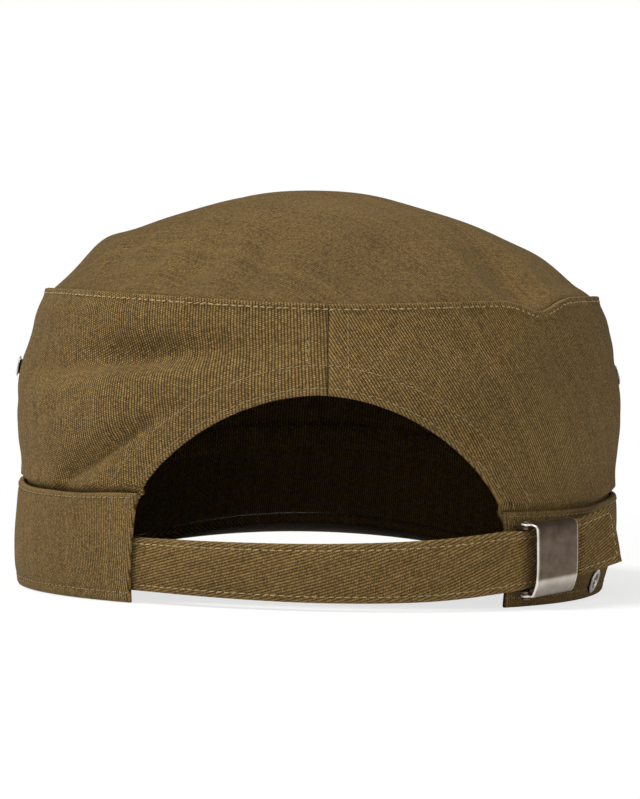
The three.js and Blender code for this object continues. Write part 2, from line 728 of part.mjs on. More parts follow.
// Moves a shape made about +Z so that it stands out from the wall at a place
function onWall(geometry, { turn, height }, wallAt) {
  const { out, up, along } = wallFrame(turn, height);
  const matrix = new THREE.Matrix4().makeBasis(up, along, out).setPosition(wallAt(turn, height));
  return geometry.applyMatrix4(matrix);
}

// A two-sided metal eyelet: a barrel through the cloth with a rounded flange on each face
function eyelet(place, cloth, wallAt) {
  const barrel = place.hole + eyeletBarrel;
  const crest = (place.hole + place.flange) / 2;
  const outside = eyeletFaceGap;
  const insideFace = -cloth - eyeletBackGap;
  const profile = [
    [place.hole, outside + eyeletSheet / 2],
    [crest, outside + eyeletSheet],
    [place.flange, outside + eyeletSheet / 3],
    [place.flange, outside],
    [barrel, outside],
    [barrel, insideFace],
    [place.flange, insideFace],
    [crest, insideFace - eyeletSheet],
    [place.hole, insideFace - eyeletSheet / 2],
    [place.hole, outside + eyeletSheet / 2],
  ].reverse().map(([r, out]) => new THREE.Vector2(r, out));
  const ring = new THREE.LatheGeometry(profile, 20).rotateX(Math.PI / 2);
  return onWall(ring, place, wallAt);
}

function withEyeletHole(geometry, place, wallAt) {
  const radius = place.hole + eyeletBarrel + sewnGap;
  const drill = new THREE.CylinderGeometry(radius, radius, 12, 20).rotateX(Math.PI / 2);
  return geometryOf(solidOf(geometry).subtract(solidOf(onWall(drill, place, wallAt))));
}

const ventLeft = ventEyelet;
const ventRight = { ...ventEyelet, turn: -ventEyelet.turn };

const twill = { color: 0x6b573a, roughness: 0.9, metalness: 0 };
const satinMetal = { color: 0x8a8178, roughness: 0.38, metalness: 1 };
const brightMetal = { color: 0xb4aea6, roughness: 0.25, metalness: 1 };

// Every piece of the cap, by name
const pieces = {
  top_panel: [topPanel(), twill],
  front_panel: [sidePanel(frontSeamTurn, 360 - frontSeamTurn), twill],
  side_panel_left: [
    withEyeletHole(sidePanel(backSeamTurn, frontSeamTurn), ventLeft, crownWallPoint), twill],
  side_panel_right: [
    withEyeletHole(sidePanel(-frontSeamTurn, backSeamTurn), ventRight, crownWallPoint), twill],
  band: [withEyeletHole(band(), bandEyelet, wallPoint), twill],
  peak: [peak(), twill],
  strap: [strap(), twill],
  clasp_base: [claspBase().applyMatrix4(claspMatrix), satinMetal],
  clasp_rivet_upper: [claspRivet(1).applyMatrix4(claspMatrix), satinMetal],
  clasp_rivet_lower: [claspRivet(-1).applyMatrix4(claspMatrix), satinMetal],
  clasp_lever: [claspLever().applyMatrix4(claspMatrix), satinMetal],
  band_eyelet: [eyelet(bandEyelet, bandCloth, wallPoint), brightMetal],
  vent_eyelet_left: [eyelet(ventLeft, crownCloth, crownWallPoint), brightMetal],
  vent_eyelet_right: [eyelet(ventRight, crownCloth, crownWallPoint), brightMetal],
};

const cap = new THREE.Group();
for (const [name, [geometry, look]] of Object.entries(pieces)) {
  const mesh = new THREE.Mesh(geometry, new THREE.MeshStandardMaterial(look));
  mesh.name = name;
  cap.add(mesh);
}

// The origin is the middle of the bottom of the bounding box
const bounds = new THREE.Box3().setFromObject(cap, true);
const middle = bounds.getCenter(new THREE.Vector3());
cap.position.set(-middle.x, -middle.y, -bounds.min.z);

export default cap;
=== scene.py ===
# %% [markdown]
# # A twill cadet cap, seen from behind
# The cap is sewn from seven pieces of washed cotton twill: two side panels and a front panel, a
# puffed top, a band, a stiff peak, and a folded strap that a metal clasp holds across the rear
# opening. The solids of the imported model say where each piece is. This lesson dresses them: every
# sewn piece is worked out again as a fine surface from the same sizes, and then gets its weave, its
# seams and its stitches.

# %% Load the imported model
import bpy
import numpy as np
from mathutils import Matrix, Vector


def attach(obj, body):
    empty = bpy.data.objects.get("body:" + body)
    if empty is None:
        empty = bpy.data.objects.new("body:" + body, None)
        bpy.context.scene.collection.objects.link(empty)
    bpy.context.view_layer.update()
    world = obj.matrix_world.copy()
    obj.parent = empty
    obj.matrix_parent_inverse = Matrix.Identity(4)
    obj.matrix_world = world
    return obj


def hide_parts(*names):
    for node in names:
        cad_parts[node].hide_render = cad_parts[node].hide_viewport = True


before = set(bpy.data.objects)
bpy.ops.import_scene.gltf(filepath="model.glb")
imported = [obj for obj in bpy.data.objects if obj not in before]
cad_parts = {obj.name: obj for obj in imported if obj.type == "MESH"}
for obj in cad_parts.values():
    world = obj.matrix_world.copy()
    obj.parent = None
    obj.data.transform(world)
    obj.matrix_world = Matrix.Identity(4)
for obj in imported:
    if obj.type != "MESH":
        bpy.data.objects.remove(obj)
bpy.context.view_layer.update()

print("nodes:", ", ".join(sorted(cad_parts)))

# %% [markdown]
# ## The camera
# The photo was taken from behind, about 0.8 m from the back of the cap and a little below its seam,
# with the camera turned slightly to the wearer's left and rolled by less than a degree. The camera
# is built from those few facts: where it stands, which way it looks, and how many pixels of the
# picture one radian takes. Three axes at right angles then make its matrix.

# %% Place the camera
MM = 0.001
SHIFT = np.array([-0.0751, 34.7057, 0.0])  # from the middle of the head opening to the frame, mm
PICTURE_HEIGHT = 799
PIXELS_PER_RADIAN = 2887
SENSOR = 36
CAMERA_BACK, CAMERA_HEIGHT = 899.0, 67.3
YAW, ROLL = np.radians(1.5), np.radians(0.85)
AIM_RIGHT, AIM_DOWN = 1.0, 30.5  # pixels from the level line of sight to the picture's middle


def in_frame(points):
    """Millimetres round the head opening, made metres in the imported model's frame."""
    return (np.asarray(points, float) + SHIFT) * MM


eye = in_frame([np.sin(YAW) * CAMERA_BACK, np.cos(YAW) * CAMERA_BACK, CAMERA_HEIGHT])
level = Vector((-np.sin(YAW), -np.cos(YAW), 0))
right = Vector((-np.cos(YAW), np.sin(YAW), 0))
upward = Vector((0, 0, 1))
rolled_right = right * np.cos(ROLL) + upward * np.sin(ROLL)
rolled_up = upward * np.cos(ROLL) - right * np.sin(ROLL)
aim = (level * PIXELS_PER_RADIAN + rolled_right * AIM_RIGHT - rolled_up * AIM_DOWN).normalized()
across = aim.cross(rolled_up).normalized()
over = across.cross(aim)
camera_data = bpy.data.cameras.new("camera")
camera_data.lens = PIXELS_PER_RADIAN * SENSOR / PICTURE_HEIGHT
camera_data.sensor_width = SENSOR
camera_data.clip_end = 20
camera = bpy.data.objects.new("camera", camera_data)
bpy.context.scene.collection.objects.link(camera)
matrix = Matrix((across, over, -aim)).transposed().to_4x4()
matrix.translation = Vector(eye)
camera.matrix_world = matrix
bpy.context.scene.camera = camera
print("lens", round(camera_data.lens, 1), "mm at", np.round(eye, 3))

# %% [markdown]
# ## Two helpers for shader nodes
# Every material here is a small network of nodes. Adding a node and then setting or linking its
# inputs takes several lines each time, so one function does both, and a second one stands for the
# Math node, which returns a single value.

# %% Node helpers
def add(tree, kind, settings=None, **inputs):
    """A shader node. An input is named, or numbered as i0, i1, and is linked or set."""
    one = tree.nodes.new("ShaderNode" + kind)
    for key, value in (settings or {}).items():
        setattr(one, key, value)
    for key, value in inputs.items():
        socket = one.inputs[int(key[1:]) if key[1:].isdigit() else key.replace("_", " ")]
        if isinstance(value, bpy.types.NodeSocket):
            tree.links.new(value, socket)
        else:
            socket.default_value = value
    return one


def calc(tree, operation, first, second=0.5, third=0.5):
    """The result of one Math node."""
    return add(tree, "Math", {"operation": operation}, i0=first, i1=second, i2=third).outputs[0]


print("helpers:", add.__name__, calc.__name__)

# %% [markdown]
# ## Light, floor and tones
# A cap that is photographed for a catalogue stands in even light, on white. The key lamp is high and
# a little to the left, so that the folds throw soft shade downwards. A weaker lamp fills the right
# side, one behind the crown lights the dome, and one behind the camera lights the strap and the
# clasp. The camera alone sees the white room brighter than it shines. The picture is kept in plain
# display tones, so a colour that is set here is the colour that is seen.

# %% Lamps, backdrop and tones
scene = bpy.context.scene
scene.view_settings.view_transform = "Standard"
scene.view_settings.look = "None"


def lamp(name, place, target, size, power):
    """A square area lamp, turned so that its face looks at the target."""
    data = bpy.data.lights.new(name, "AREA")
    data.shape, data.size, data.energy = "SQUARE", size, power
    data.color = (1.0, 0.985, 0.96)
    one = bpy.data.objects.new(name, data)
    one.location = place
    one.rotation_euler = (Vector(target) - Vector(place)).to_track_quat("-Z", "Y").to_euler()
    scene.collection.objects.link(one)
    return one


MIDDLE = (0.0, 0.03, 0.06)
# name: place, size in metres and power in watts
LAMPS = {"key": ((0.6, 0.35, 1.35), 0.35, 23.0), "fill": ((-1.2, 0.85, 0.5), 1.0, 4.5),
         "top": ((0.1, -0.35, 1.5), 1.2, 4.0), "back": ((0.25, 1.5, 0.4), 1.0, 5.0)}
for label, (place, size, power) in LAMPS.items():
    lamp(label, place, MIDDLE, size, power)

WHITE, ROOM_LIGHT, SEEN_LIGHT = (1, 1, 1, 1), 0.22, 1.0
world = bpy.data.worlds.new("studio")
scene.world = world
world.use_nodes = True
tree = world.node_tree
tree.nodes.clear()
room, seen = (add(tree, "Background", Color=WHITE, Strength=light).outputs[0]
              for light in (ROOM_LIGHT, SEEN_LIGHT))
to_camera = add(tree, "LightPath").outputs["Is Camera Ray"]
either = add(tree, "MixShader", i0=to_camera, i1=room, i2=seen)
add(tree, "OutputWorld", Surface=either.outputs[0])

FLOOR_HALF, FLOOR_GREY = 4.0, (0.86, 0.86, 0.86, 1)
GLOW_NEAR, GLOW_FULL, GLOW_LEAST = 0.1, 0.5, 0.72  # the floor fades to white away from the cap
floor_mesh = bpy.data.meshes.new("floor")
corners = [(x * FLOOR_HALF, y * FLOOR_HALF, 0) for x, y in ((-1, -1), (1, -1), (1, 1), (-1, 1))]
floor_mesh.from_pydata(corners, [], [(0, 1, 2, 3)])
floor = bpy.data.objects.new("floor", floor_mesh)
scene.collection.objects.link(floor)
floor_paint = bpy.data.materials.new("floor")
floor_paint.use_nodes = True
tree = floor_paint.node_tree
paper = tree.nodes["Principled BSDF"]
paper.inputs["Base Color"].default_value = FLOOR_GREY
paper.inputs["Roughness"].default_value = 0.9
away = add(tree, "VectorMath", {"operation": "LENGTH"}, i0=add(tree, "TexCoord").outputs["Object"])
fade = add(tree, "MapRange", Value=away.outputs["Value"], i1=GLOW_NEAR, i2=GLOW_FULL, i3=GLOW_LEAST)
to_camera = add(tree, "LightPath").outputs["Is Camera Ray"]
share = calc(tree, "MULTIPLY", fade.outputs[0], to_camera)
white = add(tree, "MixShader", i0=share, i1=paper.outputs[0], i2=add(tree, "Emission").outputs[0])
tree.links.new(white.outputs[0], tree.nodes["Material Output"].inputs["Surface"])
floor_mesh.materials.append(floor_paint)

# %% [markdown]
# ## The sizes of the cap
# These are the sizes that the solids were built from, in millimetres. A place on the side wall is
# given by its turn, which is the angle in degrees from the middle of the back, and its height. The
# tables are short: each row is one level of the wall, one dent or one gather, and smooth curves run
# between and around them.

# %% Sizes in millimetres and degrees
CROWN_HALF_WIDTH, CROWN_BACK, CROWN_FRONT = 93.5, 99.0, 104.0
SEAM_BACK, SEAM_SIDE, SEAM_FRONT, SEAM_RISE_POWER = 85.6, 91.0, 97.5, 1.6
DOME_RISE, DOME_POWER = 31.2, 2.6
CROWN_CLOTH, BAND_CLOTH, STRAP_CLOTH, SEWN_GAP = 1.2, 2.0, 2.0, 0.3
BAND_HEIGHT, WALL_TUCK, TUCK_BLEND = 32.6, 6.0, 2.0
BAND_LEFT, BAND_RIGHT = (36.6, 35.4), (-34.6, -33.2)  # turn of each end at the bottom and top
OPEN_HALF_WIDTH, OPEN_MIDDLE, OPEN_TOP, OPEN_CENTRE = 58.8, 2.2, 60.0, 7.8
OPEN_FULLNESS = 1.85
FRONT_SEAM, TOP_FLANGE = 102.0, 5.0
PEAK_HALF_TURN, PEAK_REACH, PEAK_THICKNESS, PEAK_ARCH = 60.0, 66.0, 3.6, 14.0
PEAK_SAG, PEAK_END_WIDTH, PEAK_CORNER, PEAK_ROOT_EASE = 0.5, 3.0, 0.82, 1.1

# columns: height share, side share, back share, front share
SECTIONS = np.array([
    [0.0, 0.985, 0.99, 0.985], [0.08, 1.0, 1.0, 0.995], [0.16, 1.003, 1.003, 1.0],
    [0.25, 0.998, 1.002, 1.0], [0.34, 0.988, 0.997, 0.995], [0.41, 0.981, 0.993, 0.99],
    [0.5, 0.992, 0.997, 0.992], [0.58, 0.999, 0.998, 0.993], [0.66, 0.998, 0.994, 0.992],
    [0.74, 0.99, 0.984, 0.988], [0.8, 0.979, 0.972, 0.982], [0.86, 0.965, 0.959, 0.974],
    [0.93, 0.946, 0.944, 0.962], [1.0, 0.913, 0.928, 0.945]])
# columns: turn, height share, turn spread, height spread, depth share, climb
WALL_DENTS = np.array([
    [55, 0.84, 36, 0.075, 0.026, 0], [45, 0.47, 13, 0.06, 0.022, -0.0084],
    [-58, 0.76, 9, 0.16, 0.013, 0.002], [-74, 0.0, 30, 0.17, 0.045, 0],
    [150, 0.62, 16, 0.12, 0.012, 0.004], [-146, 0.7, 14, 0.1, 0.012, -0.004],
    [92, 1.0, 34, 0.12, 0.012, 0], [-95, 0.77, 25, 0.05, 0.009, 0],
    [-95, 0.45, 30, 0.08, -0.009, 0]])
# columns: turn, height of the band's upper edge
BAND_TOPS = np.array([
    [-180, 32.6], [-130, 32.6], [-95, 31.0], [-74, 29.9], [-58, 28.0], [-33, 27.7], [35, 31.4],
    [52, 30.7], [72, 31.0], [92, 32.8], [130, 32.6], [180, 32.6]])
# columns: turn, turn spread, drop share
SEAM_DIPS = np.array([[-46, 6.5, 0.042], [-118, 10, 0.012], [128, 12, 0.01]])
# columns: turn, turn spread, place outwards, outward spread, depth share
TOP_GATHERS = np.array([
    [-92, 42, 0.72, 0.3, 0.09], [31, 5.5, 0.86, 0.15, 0.075], [15, 5.5, 0.8, 0.2, 0.06],
    [50, 6, 0.86, 0.14, 0.05], [-12, 6, 0.86, 0.14, 0.035], [-43, 7, 0.88, 0.16, 0.085],
    [-66, 7, 0.85, 0.13, 0.04], [74, 7, 0.85, 0.13, 0.05], [104, 8, 0.86, 0.14, 0.045],
    [142, 9, 0.88, 0.13, 0.035], [-98, 8, 0.86, 0.14, 0.045], [-134, 9, 0.88, 0.13, 0.04],
    [178, 9, 0.9, 0.12, 0.03], [92, 36, 0.5, 0.2, 0.06], [86, 22, 0.82, 0.09, -0.1],
    [-92, 42, 0.4, 0.2, 0.065], [-88, 24, 0.82, 0.1, -0.05]])
print(len(SECTIONS), "levels,", len(WALL_DENTS), "dents,", len(TOP_GATHERS), "gathers")

# %% [markdown]
# ## The side wall as a function
# The wall is one surface: a function of turn and height. Each level is an oval whose width and
# length come from the table of sections, and each dent takes a soft hump out of it. The functions
# take whole arrays, so thousands of places are worked out in one call.

# %% The side wall
def hump(offset, spread):
    """1 at no offset, falling off as a bell: e to the minus square of offset over spread."""
    return np.exp(-((offset / spread) ** 2))


def turn_between(start, end):
    """The shortest way round from one turn to another, from -180 to 180 degrees."""
    return (end - start + 180) % 360 - 180


def ease(x, low, high):
    """0 below low and 1 above high, with a smooth S between: 3t squared minus 2t cubed."""
    t = np.clip((x - low) / (high - low), 0, 1)
    return t * t * (3 - 2 * t)


def along_table(rows, column, place):
    """A smooth curve through a column of a table: cubic between rows, with each row's slope taken
    from the rows on both sides of it."""
    xs, ys = rows[:, 0], rows[:, column]
    before = np.maximum(np.arange(len(xs)) - 1, 0)
    after = np.minimum(np.arange(len(xs)) + 1, len(xs) - 1)
    slope = (ys[after] - ys[before]) / (xs[after] - xs[before])
    i = np.clip(np.searchsorted(xs, place, "right") - 1, 0, len(xs) - 2)
    span = xs[i + 1] - xs[i]
    t = np.clip((place - xs[i]) / span, 0, 1)
    return ((2 * t**3 - 3 * t**2 + 1) * ys[i] + (t**3 - 2 * t**2 + t) * span * slope[i]
            + (3 * t**2 - 2 * t**3) * ys[i + 1] + (t**3 - t**2) * span * slope[i + 1])


def seam_level(turn):
    """Height of the top seam without its dips: from back to side with the sine of the turn."""
    angle = np.radians(turn)
    ends = np.where(np.cos(angle) > 0, SEAM_BACK, SEAM_FRONT)
    return ends + (SEAM_SIDE - ends) * np.abs(np.sin(angle)) ** SEAM_RISE_POWER


def seam_height(turn):
    """Height of the top seam, with each dip taken off as a share of it."""
    sag = sum(d * hump(turn_between(t, turn), s) for t, s, d in SEAM_DIPS)
    return seam_level(turn) * (1 - sag)


def wall_point(turn, height):
    """The outside of the wall: half width and half length times the section's share less the
    dents, laid out by the sine and cosine of the turn."""
    turn, height = np.broadcast_arrays(np.asarray(turn, float), np.asarray(height, float))
    angle = np.radians(turn)
    share = np.clip(height / seam_height(turn), 0, 1)
    c, s = np.cos(angle), np.sin(angle)
    ends = np.where(c > 0, along_table(SECTIONS, 2, share), along_table(SECTIONS, 3, share))
    side = along_table(SECTIONS, 1, share)
    size = side + (ends - side) * c * c
    for t, h, ts, hs, depth, climb in WALL_DENTS:
        along = turn_between(t, turn)
        size = size - depth * hump(along, ts) * hump(share - h - climb * along, hs)
    length = np.where(c > 0, CROWN_BACK, CROWN_FRONT)
    return np.stack([CROWN_HALF_WIDTH * size * s, length * size * c, height], -1)


def unit(vectors):
    """Vectors divided by their lengths."""
    return vectors / np.maximum(np.linalg.norm(vectors, axis=-1, keepdims=True), 1e-9)


def wall_frame(turn, height, step=0.5):
    """A place on the wall and its outward, upward and sideways directions, from small steps."""
    ahead = wall_point(turn + step, height) - wall_point(turn - step, height)
    above = wall_point(turn, height + step) - wall_point(turn, np.maximum(height - step, 0))
    out = unit(np.cross(above, ahead))
    up = unit(above)
    return wall_point(turn, height), out, up, unit(np.cross(out, up))


def wall_depth(turn, height, depth):
    """A place this deep under the outside of the wall."""
    at, out, _, _ = wall_frame(turn, height)
    return at - out * np.asarray(depth)[..., None]


PEAK_ROOT = wall_point(180 - PEAK_HALF_TURN, 0)
PEAK_ROOT_HALF_WIDTH = PEAK_ROOT[0]


def peak_lift(aside, outward):
    """The arch of the peak: one minus the square of the distance aside, less towards the edge."""
    return (PEAK_ARCH * np.clip(1 - (aside / PEAK_ROOT_HALF_WIDTH) ** 2, 0, 1)
            * (1 - PEAK_SAG * outward))


def front_lift(turn):
    """How far the peak lifts the band above it; nothing behind the middle of the cap."""
    lift = peak_lift(wall_point(turn, 0)[..., 0], 0)
    return np.where(np.cos(np.radians(turn)) < 0, lift, 0)


def band_top(turn):
    """The band's upper edge, which droops beside the rear opening."""
    return along_table(BAND_TOPS, 1, turn_between(0, turn)) + front_lift(turn)


def wall_inset(turn, height):
    """How deep the crown's wall lies: behind the band, and out again above it."""
    above = height - band_top(turn) - SEWN_GAP
    return (BAND_CLOTH + SEWN_GAP) * (1 - ease(above, 0, TUCK_BLEND))


def opening_edge(x):
    """Height of the rear opening's edge at this distance to the side: half an ellipse with a
    power a little under two, which makes its shoulders less full."""
    aside = np.clip(np.abs(x - OPEN_MIDDLE) / OPEN_HALF_WIDTH, 0, 1)
    share = (1 - aside**OPEN_FULLNESS) ** (1 / OPEN_FULLNESS)
    return OPEN_CENTRE + (OPEN_TOP - OPEN_CENTRE) * share


print("wall at the side, 50 mm up:", np.round(wall_point(90, 50), 2))

# %% [markdown]
# ## From a surface to a piece of cloth
# A real panel has a thickness, and its cut or folded edge is round. So each piece is made as a slab:
# the outer sheet, an inner sheet one thickness below it, and a thickness that runs out to nothing
# over the last millimetre as a quarter circle, where the two sheets share their points. Solidify
# and Bevel could do this, but then the stitches would not know where the surface is.

# %% Build a slab
def edge_steps(length, radius, count):
    """Distances from one edge to the other: close together where the edge is round, then even."""
    length = np.asarray(length, float)[..., None]
    near = radius * (1 - np.cos(np.radians([0, 25, 50, 90])))
    middle = np.linspace(0, 1, count + 1)[1:-1]
    inner = radius + (length - 2 * radius) * middle
    near = np.broadcast_to(near, length.shape[:-1] + near.shape)
    return np.concatenate([near, inner, length - near[..., ::-1]], -1)


def roundness(distance, radius):
    """Share of the thickness at a distance from the edge: a quarter circle, then 1."""
    return np.sqrt(np.clip(1 - (1 - np.clip(distance / radius, 0, 1)) ** 2, 0, 1))


def grid_normals(grid, wrap=False):
    """The cross product of the steps along and across the grid at each point."""
    if wrap:
        along = np.roll(grid, -1, 0) - np.roll(grid, 1, 0)
    else:
        along = np.gradient(grid, axis=0)
    return unit(np.cross(along, np.gradient(grid, axis=1)))


def from_ends(grid, axis):
    """How far each point is along its grid line from the line's start, and from its end."""
    steps = np.linalg.norm(np.diff(grid, axis=axis), axis=-1)
    pad = [(0, 0), (0, 0)]
    pad[axis] = (1, 0)
    length = np.cumsum(np.pad(steps, pad), axis)
    return length, np.take(length, [-1], axis) - length


def make_mesh(name, points, faces, uv=None, wear=None):
    """An object from points in mm, faces, a place on the cloth in mm and the wear at each point."""
    mesh = bpy.data.meshes.new(name)
    mesh.from_pydata(in_frame(points).tolist(), [], faces)
    mesh.polygons.foreach_set("use_smooth", np.ones(len(mesh.polygons), bool))
    corners = np.empty(len(mesh.loops), int)
    mesh.loops.foreach_get("vertex_index", corners)
    if uv is not None:
        mesh.uv_layers.new(name="cloth").data.foreach_set("uv", uv[corners].ravel())
    if wear is not None:
        mesh.attributes.new("wear", "FLOAT", "POINT").data.foreach_set("value", wear)
    one = bpy.data.objects.new(name, mesh)
    scene.collection.objects.link(one)
    return one


def hole_walls(upper, lower, cut):
    """Faces that join two sheets round the cells that are cut out of both."""
    walls = []
    for axis in (0, 1):
        a = cut if axis == 0 else cut.T
        up, low = (upper, lower) if axis == 0 else (upper.T, lower.T)
        for side, (i, j) in ((1, np.nonzero(~a[:-1] & a[1:])), (-1, np.nonzero(a[:-1] & ~a[1:]))):
            ring = np.stack([up[i + 1, j + 1], up[i + 1, j], low[i + 1, j], low[i + 1, j + 1]], -1)
            walls.append(ring[:, ::-1] if side * (1 - 2 * axis) < 0 else ring)
    return walls


def slab(name, outer, thickness, uv, flip=False, relief=0, pole=None, lean=None, radius=None,
         hole=None, wear=1.3):
    """Cloth under a grid: the sheets stand half the thickness each side of the middle, times the
    roundness at the distance from the nearest edge, and meet along the border. With a pole, the
    grid closes round it, and only its last row is an edge. A hole is a place and a radius."""
    wrap = pole is not None
    normal = grid_normals(outer, wrap) * (-1 if flip else 1) if lean is None else lean
    to_end = [from_ends(outer, 0), from_ends(outer, 1)]
    edge = to_end[1][1] if wrap else np.minimum.reduce([d for pair in to_end for d in pair])
    half = thickness / 2
    full = roundness(edge, radius or half)
    middle = outer - normal * half
    upper = middle + normal * (half * full + relief * full)[..., None]
    lower = middle - normal * (half * full)[..., None]
    nu, nv = edge.shape
    inside = edge > 1e-6
    top_index = np.arange(nu * nv).reshape(nu, nv)
    low_index = top_index.copy()
    low_index[inside] = nu * nv + np.arange(inside.sum())
    flat = np.broadcast_to(uv, edge.shape + (2,))
    points = [upper.reshape(-1, 3), lower[inside]]
    places = [flat.reshape(-1, 2), flat[inside]]
    worn = [hump(edge, wear).ravel(), hump(edge[inside], wear)]
    fans = []
    if wrap:
        top_index, low_index = (np.concatenate([g, g[:1]]) for g in (top_index, low_index))
        count = nu * nv + inside.sum()
        points.append(np.array([pole, pole - [0, 0, thickness]]))
        places.append(np.zeros((2, 2)))
        worn.append(np.zeros(2))
        ring, low_ring = top_index[:, 0], low_index[:, 0]
        fan = np.stack([0 * ring[1:] + count, ring[1:], ring[:-1]], -1)
        low_fan = np.stack([0 * ring[1:] + count + 1, low_ring[:-1], low_ring[1:]], -1)
        fans = [fan, low_fan]
    cut = np.zeros((len(top_index) - 1, nv - 1), bool)
    if hole is not None:
        cells = (outer[:-1, :-1] + outer[1:, 1:]) / 2
        cut = np.linalg.norm(cells - hole[0], axis=-1) < hole[1]
    quads = lambda g: np.stack([g[:-1, :-1], g[1:, :-1], g[1:, 1:], g[:-1, 1:]], -1)[~cut]
    sheets = [quads(top_index), quads(low_index)[:, ::-1]]
    walls = hole_walls(top_index, low_index, cut)
    faces = [f[:, ::-1] if flip else f for f in sheets + walls + fans]
    faces = [face for part in faces for face in part.tolist()]
    return make_mesh(name, np.concatenate(points), faces, np.concatenate(places),
                     np.concatenate(worn))


def turned(uv, degrees):
    """Places on the cloth, turned in its own plane, so that the weave runs at another angle."""
    c, s = np.cos(np.radians(degrees)), np.sin(np.radians(degrees))
    return np.stack([uv[..., 0] * c - uv[..., 1] * s, uv[..., 0] * s + uv[..., 1] * c], -1)


ring_turns = np.linspace(0, 360, 1441)
ring = wall_point(ring_turns, 50.0)
ring_steps = np.linalg.norm(np.diff(ring, axis=0), axis=1)
ring_length = np.concatenate([[0], np.cumsum(ring_steps)])


def length_at(turn):
    """Millimetres round the wall from the middle of the back, signed like the turn."""
    turn = np.asarray(turn, float)
    full = np.floor(turn / 360)
    return np.interp(turn - 360 * full, ring_turns, ring_length) + full * ring_length[-1]


def turn_at_length(length):
    """The turn at a distance round the wall."""
    full = np.floor(np.asarray(length) / ring_length[-1])
    return np.interp(length - full * ring_length[-1], ring_length, ring_turns) + 360 * full


print("round the wall:", round(ring_length[-1], 1), "mm")

# %% [markdown]
# ## How the twill gets its look
# Twill is a cloth of slanting ridges. Each ridge is a row of short floats of yarn, every row is
# shifted against the last, and no two yarns took the dye alike. A node group works this out from
# the place on the cloth in millimetres: a cosine across gives the ridge, a cosine along gives the
# floats, and white noise gives every yarn its own tone. The group gives out only values, and each
# material turns them into colour, roughness and bump.

# %% The weave group
def new_group(name, ins, outs):
    """An empty node group with its sockets: name to kind and starting value."""
    tree = bpy.data.node_groups.new(name, "ShaderNodeTree")
    for label, (kind, start) in ins.items():
        socket = tree.interface.new_socket(label, in_out="INPUT", socket_type="NodeSocket" + kind)
        if start is not None:
            socket.default_value = start
    for label, kind in outs.items():
        tree.interface.new_socket(label, in_out="OUTPUT", socket_type="NodeSocket" + kind)
    return tree, tree.nodes.new("NodeGroupInput"), tree.nodes.new("NodeGroupOutput")


def wave(tree, phase):
    """Half of one plus the cosine of a full turn per unit of phase."""
    turned_on = calc(tree, "COSINE", calc(tree, "MULTIPLY", phase, 2 * np.pi))
    return calc(tree, "MULTIPLY_ADD", turned_on, 0.5, 0.5)


def centred_noise(tree, vector, scale, amount, detail=2.0):
    """Smooth noise about zero, this many units high from end to end."""
    noise = add(tree, "TexNoise", Vector=vector, Scale=scale, Detail=detail).outputs[0]
    return calc(tree, "MULTIPLY", calc(tree, "SUBTRACT", noise, 0.5), 2 * amount)


tree, ins, outs = new_group(
    "twill_weave",
    {"Cloth": ("Vector", None), "Pitch": ("Float", 1.2), "Float": ("Float", 0.62)},
    {"Height": "Float", "Yarn": "Float"})
cloth = ins.outputs["Cloth"]
parts = add(tree, "SeparateXYZ", i0=cloth)
sway = centred_noise(tree, cloth, 0.06, 0.35)
jitter = centred_noise(tree, cloth, 1.6, 0.22, 3.0)
across_cloth = calc(tree, "ADD", calc(tree, "ADD", parts.outputs[0], sway), jitter)
lane = calc(tree, "DIVIDE", across_cloth, ins.outputs["Pitch"])
row = calc(tree, "FLOOR", calc(tree, "ADD", lane, 0.5))
along_cloth = calc(tree, "DIVIDE", parts.outputs[1], ins.outputs["Float"])
stagger = calc(tree, "MULTIPLY_ADD", row, 0.37, along_cloth)
floats = calc(tree, "ADD", stagger, centred_noise(tree, cloth, 1.7, 0.45))
ridge = calc(tree, "POWER", wave(tree, lane), 0.6)
bead = calc(tree, "MULTIPLY_ADD", wave(tree, floats), 0.75, 0.25)
which_yarn = add(tree, "CombineXYZ", i0=row, i1=calc(tree, "FLOOR", calc(tree, "ADD", floats, 0.5)))
yarn = add(tree, "TexWhiteNoise", {"noise_dimensions": "3D"}, Vector=which_yarn.outputs[0])
lane_tone = add(tree, "TexWhiteNoise", {"noise_dimensions": "1D"}, W=row)
mixed = calc(tree, "MULTIPLY_ADD", lane_tone.outputs[0], 0.25,
             calc(tree, "MULTIPLY", yarn.outputs[0], 0.75))
tree.links.new(calc(tree, "MULTIPLY", ridge, bead), outs.inputs["Height"])
tree.links.new(mixed, outs.inputs["Yarn"])
twill_weave = tree
print("weave group:", len(tree.nodes), "nodes")

# %% [markdown]
# ## Dyed cloth
# The olive brown is not one colour. The valleys between the ridges are painted dark as shade, the
# yarns differ, the dye has washed out in soft patches, a reddish cast shows where the pile is
# rubbed, and the folded edges have gone pale. Each cause is one mixing step, so each one can be
# looked at alone.

# %% Twill materials
def linear(r, g, b):
    """A display colour from 0 to 255, made linear, with alpha."""
    c = np.array([r, g, b]) / 255
    return (*np.where(c <= 0.04045, c / 12.92, ((c + 0.055) / 1.055) ** 2.4), 1.0)


# painted shade: the valley colour stands for the shade that falls between the weave's ridges
VALLEY_SHADE, RIDGE, RUBBED_EDGE, SHEEN = (
    linear(*c) for c in ((52, 39, 17), (150, 122, 73), (148, 124, 80), (196, 178, 138)))
REDDISH = (1.22, 0.93, 0.8, 1)
MEAN_HEIGHT, FLOAT_SHARE = 0.42, 0.55  # of the weave group's height, and of the pitch
PATCH_SCALE, RUB_SCALE, SPECK_SCALE = 24.0, 70.0, 1500.0  # noise waves per metre


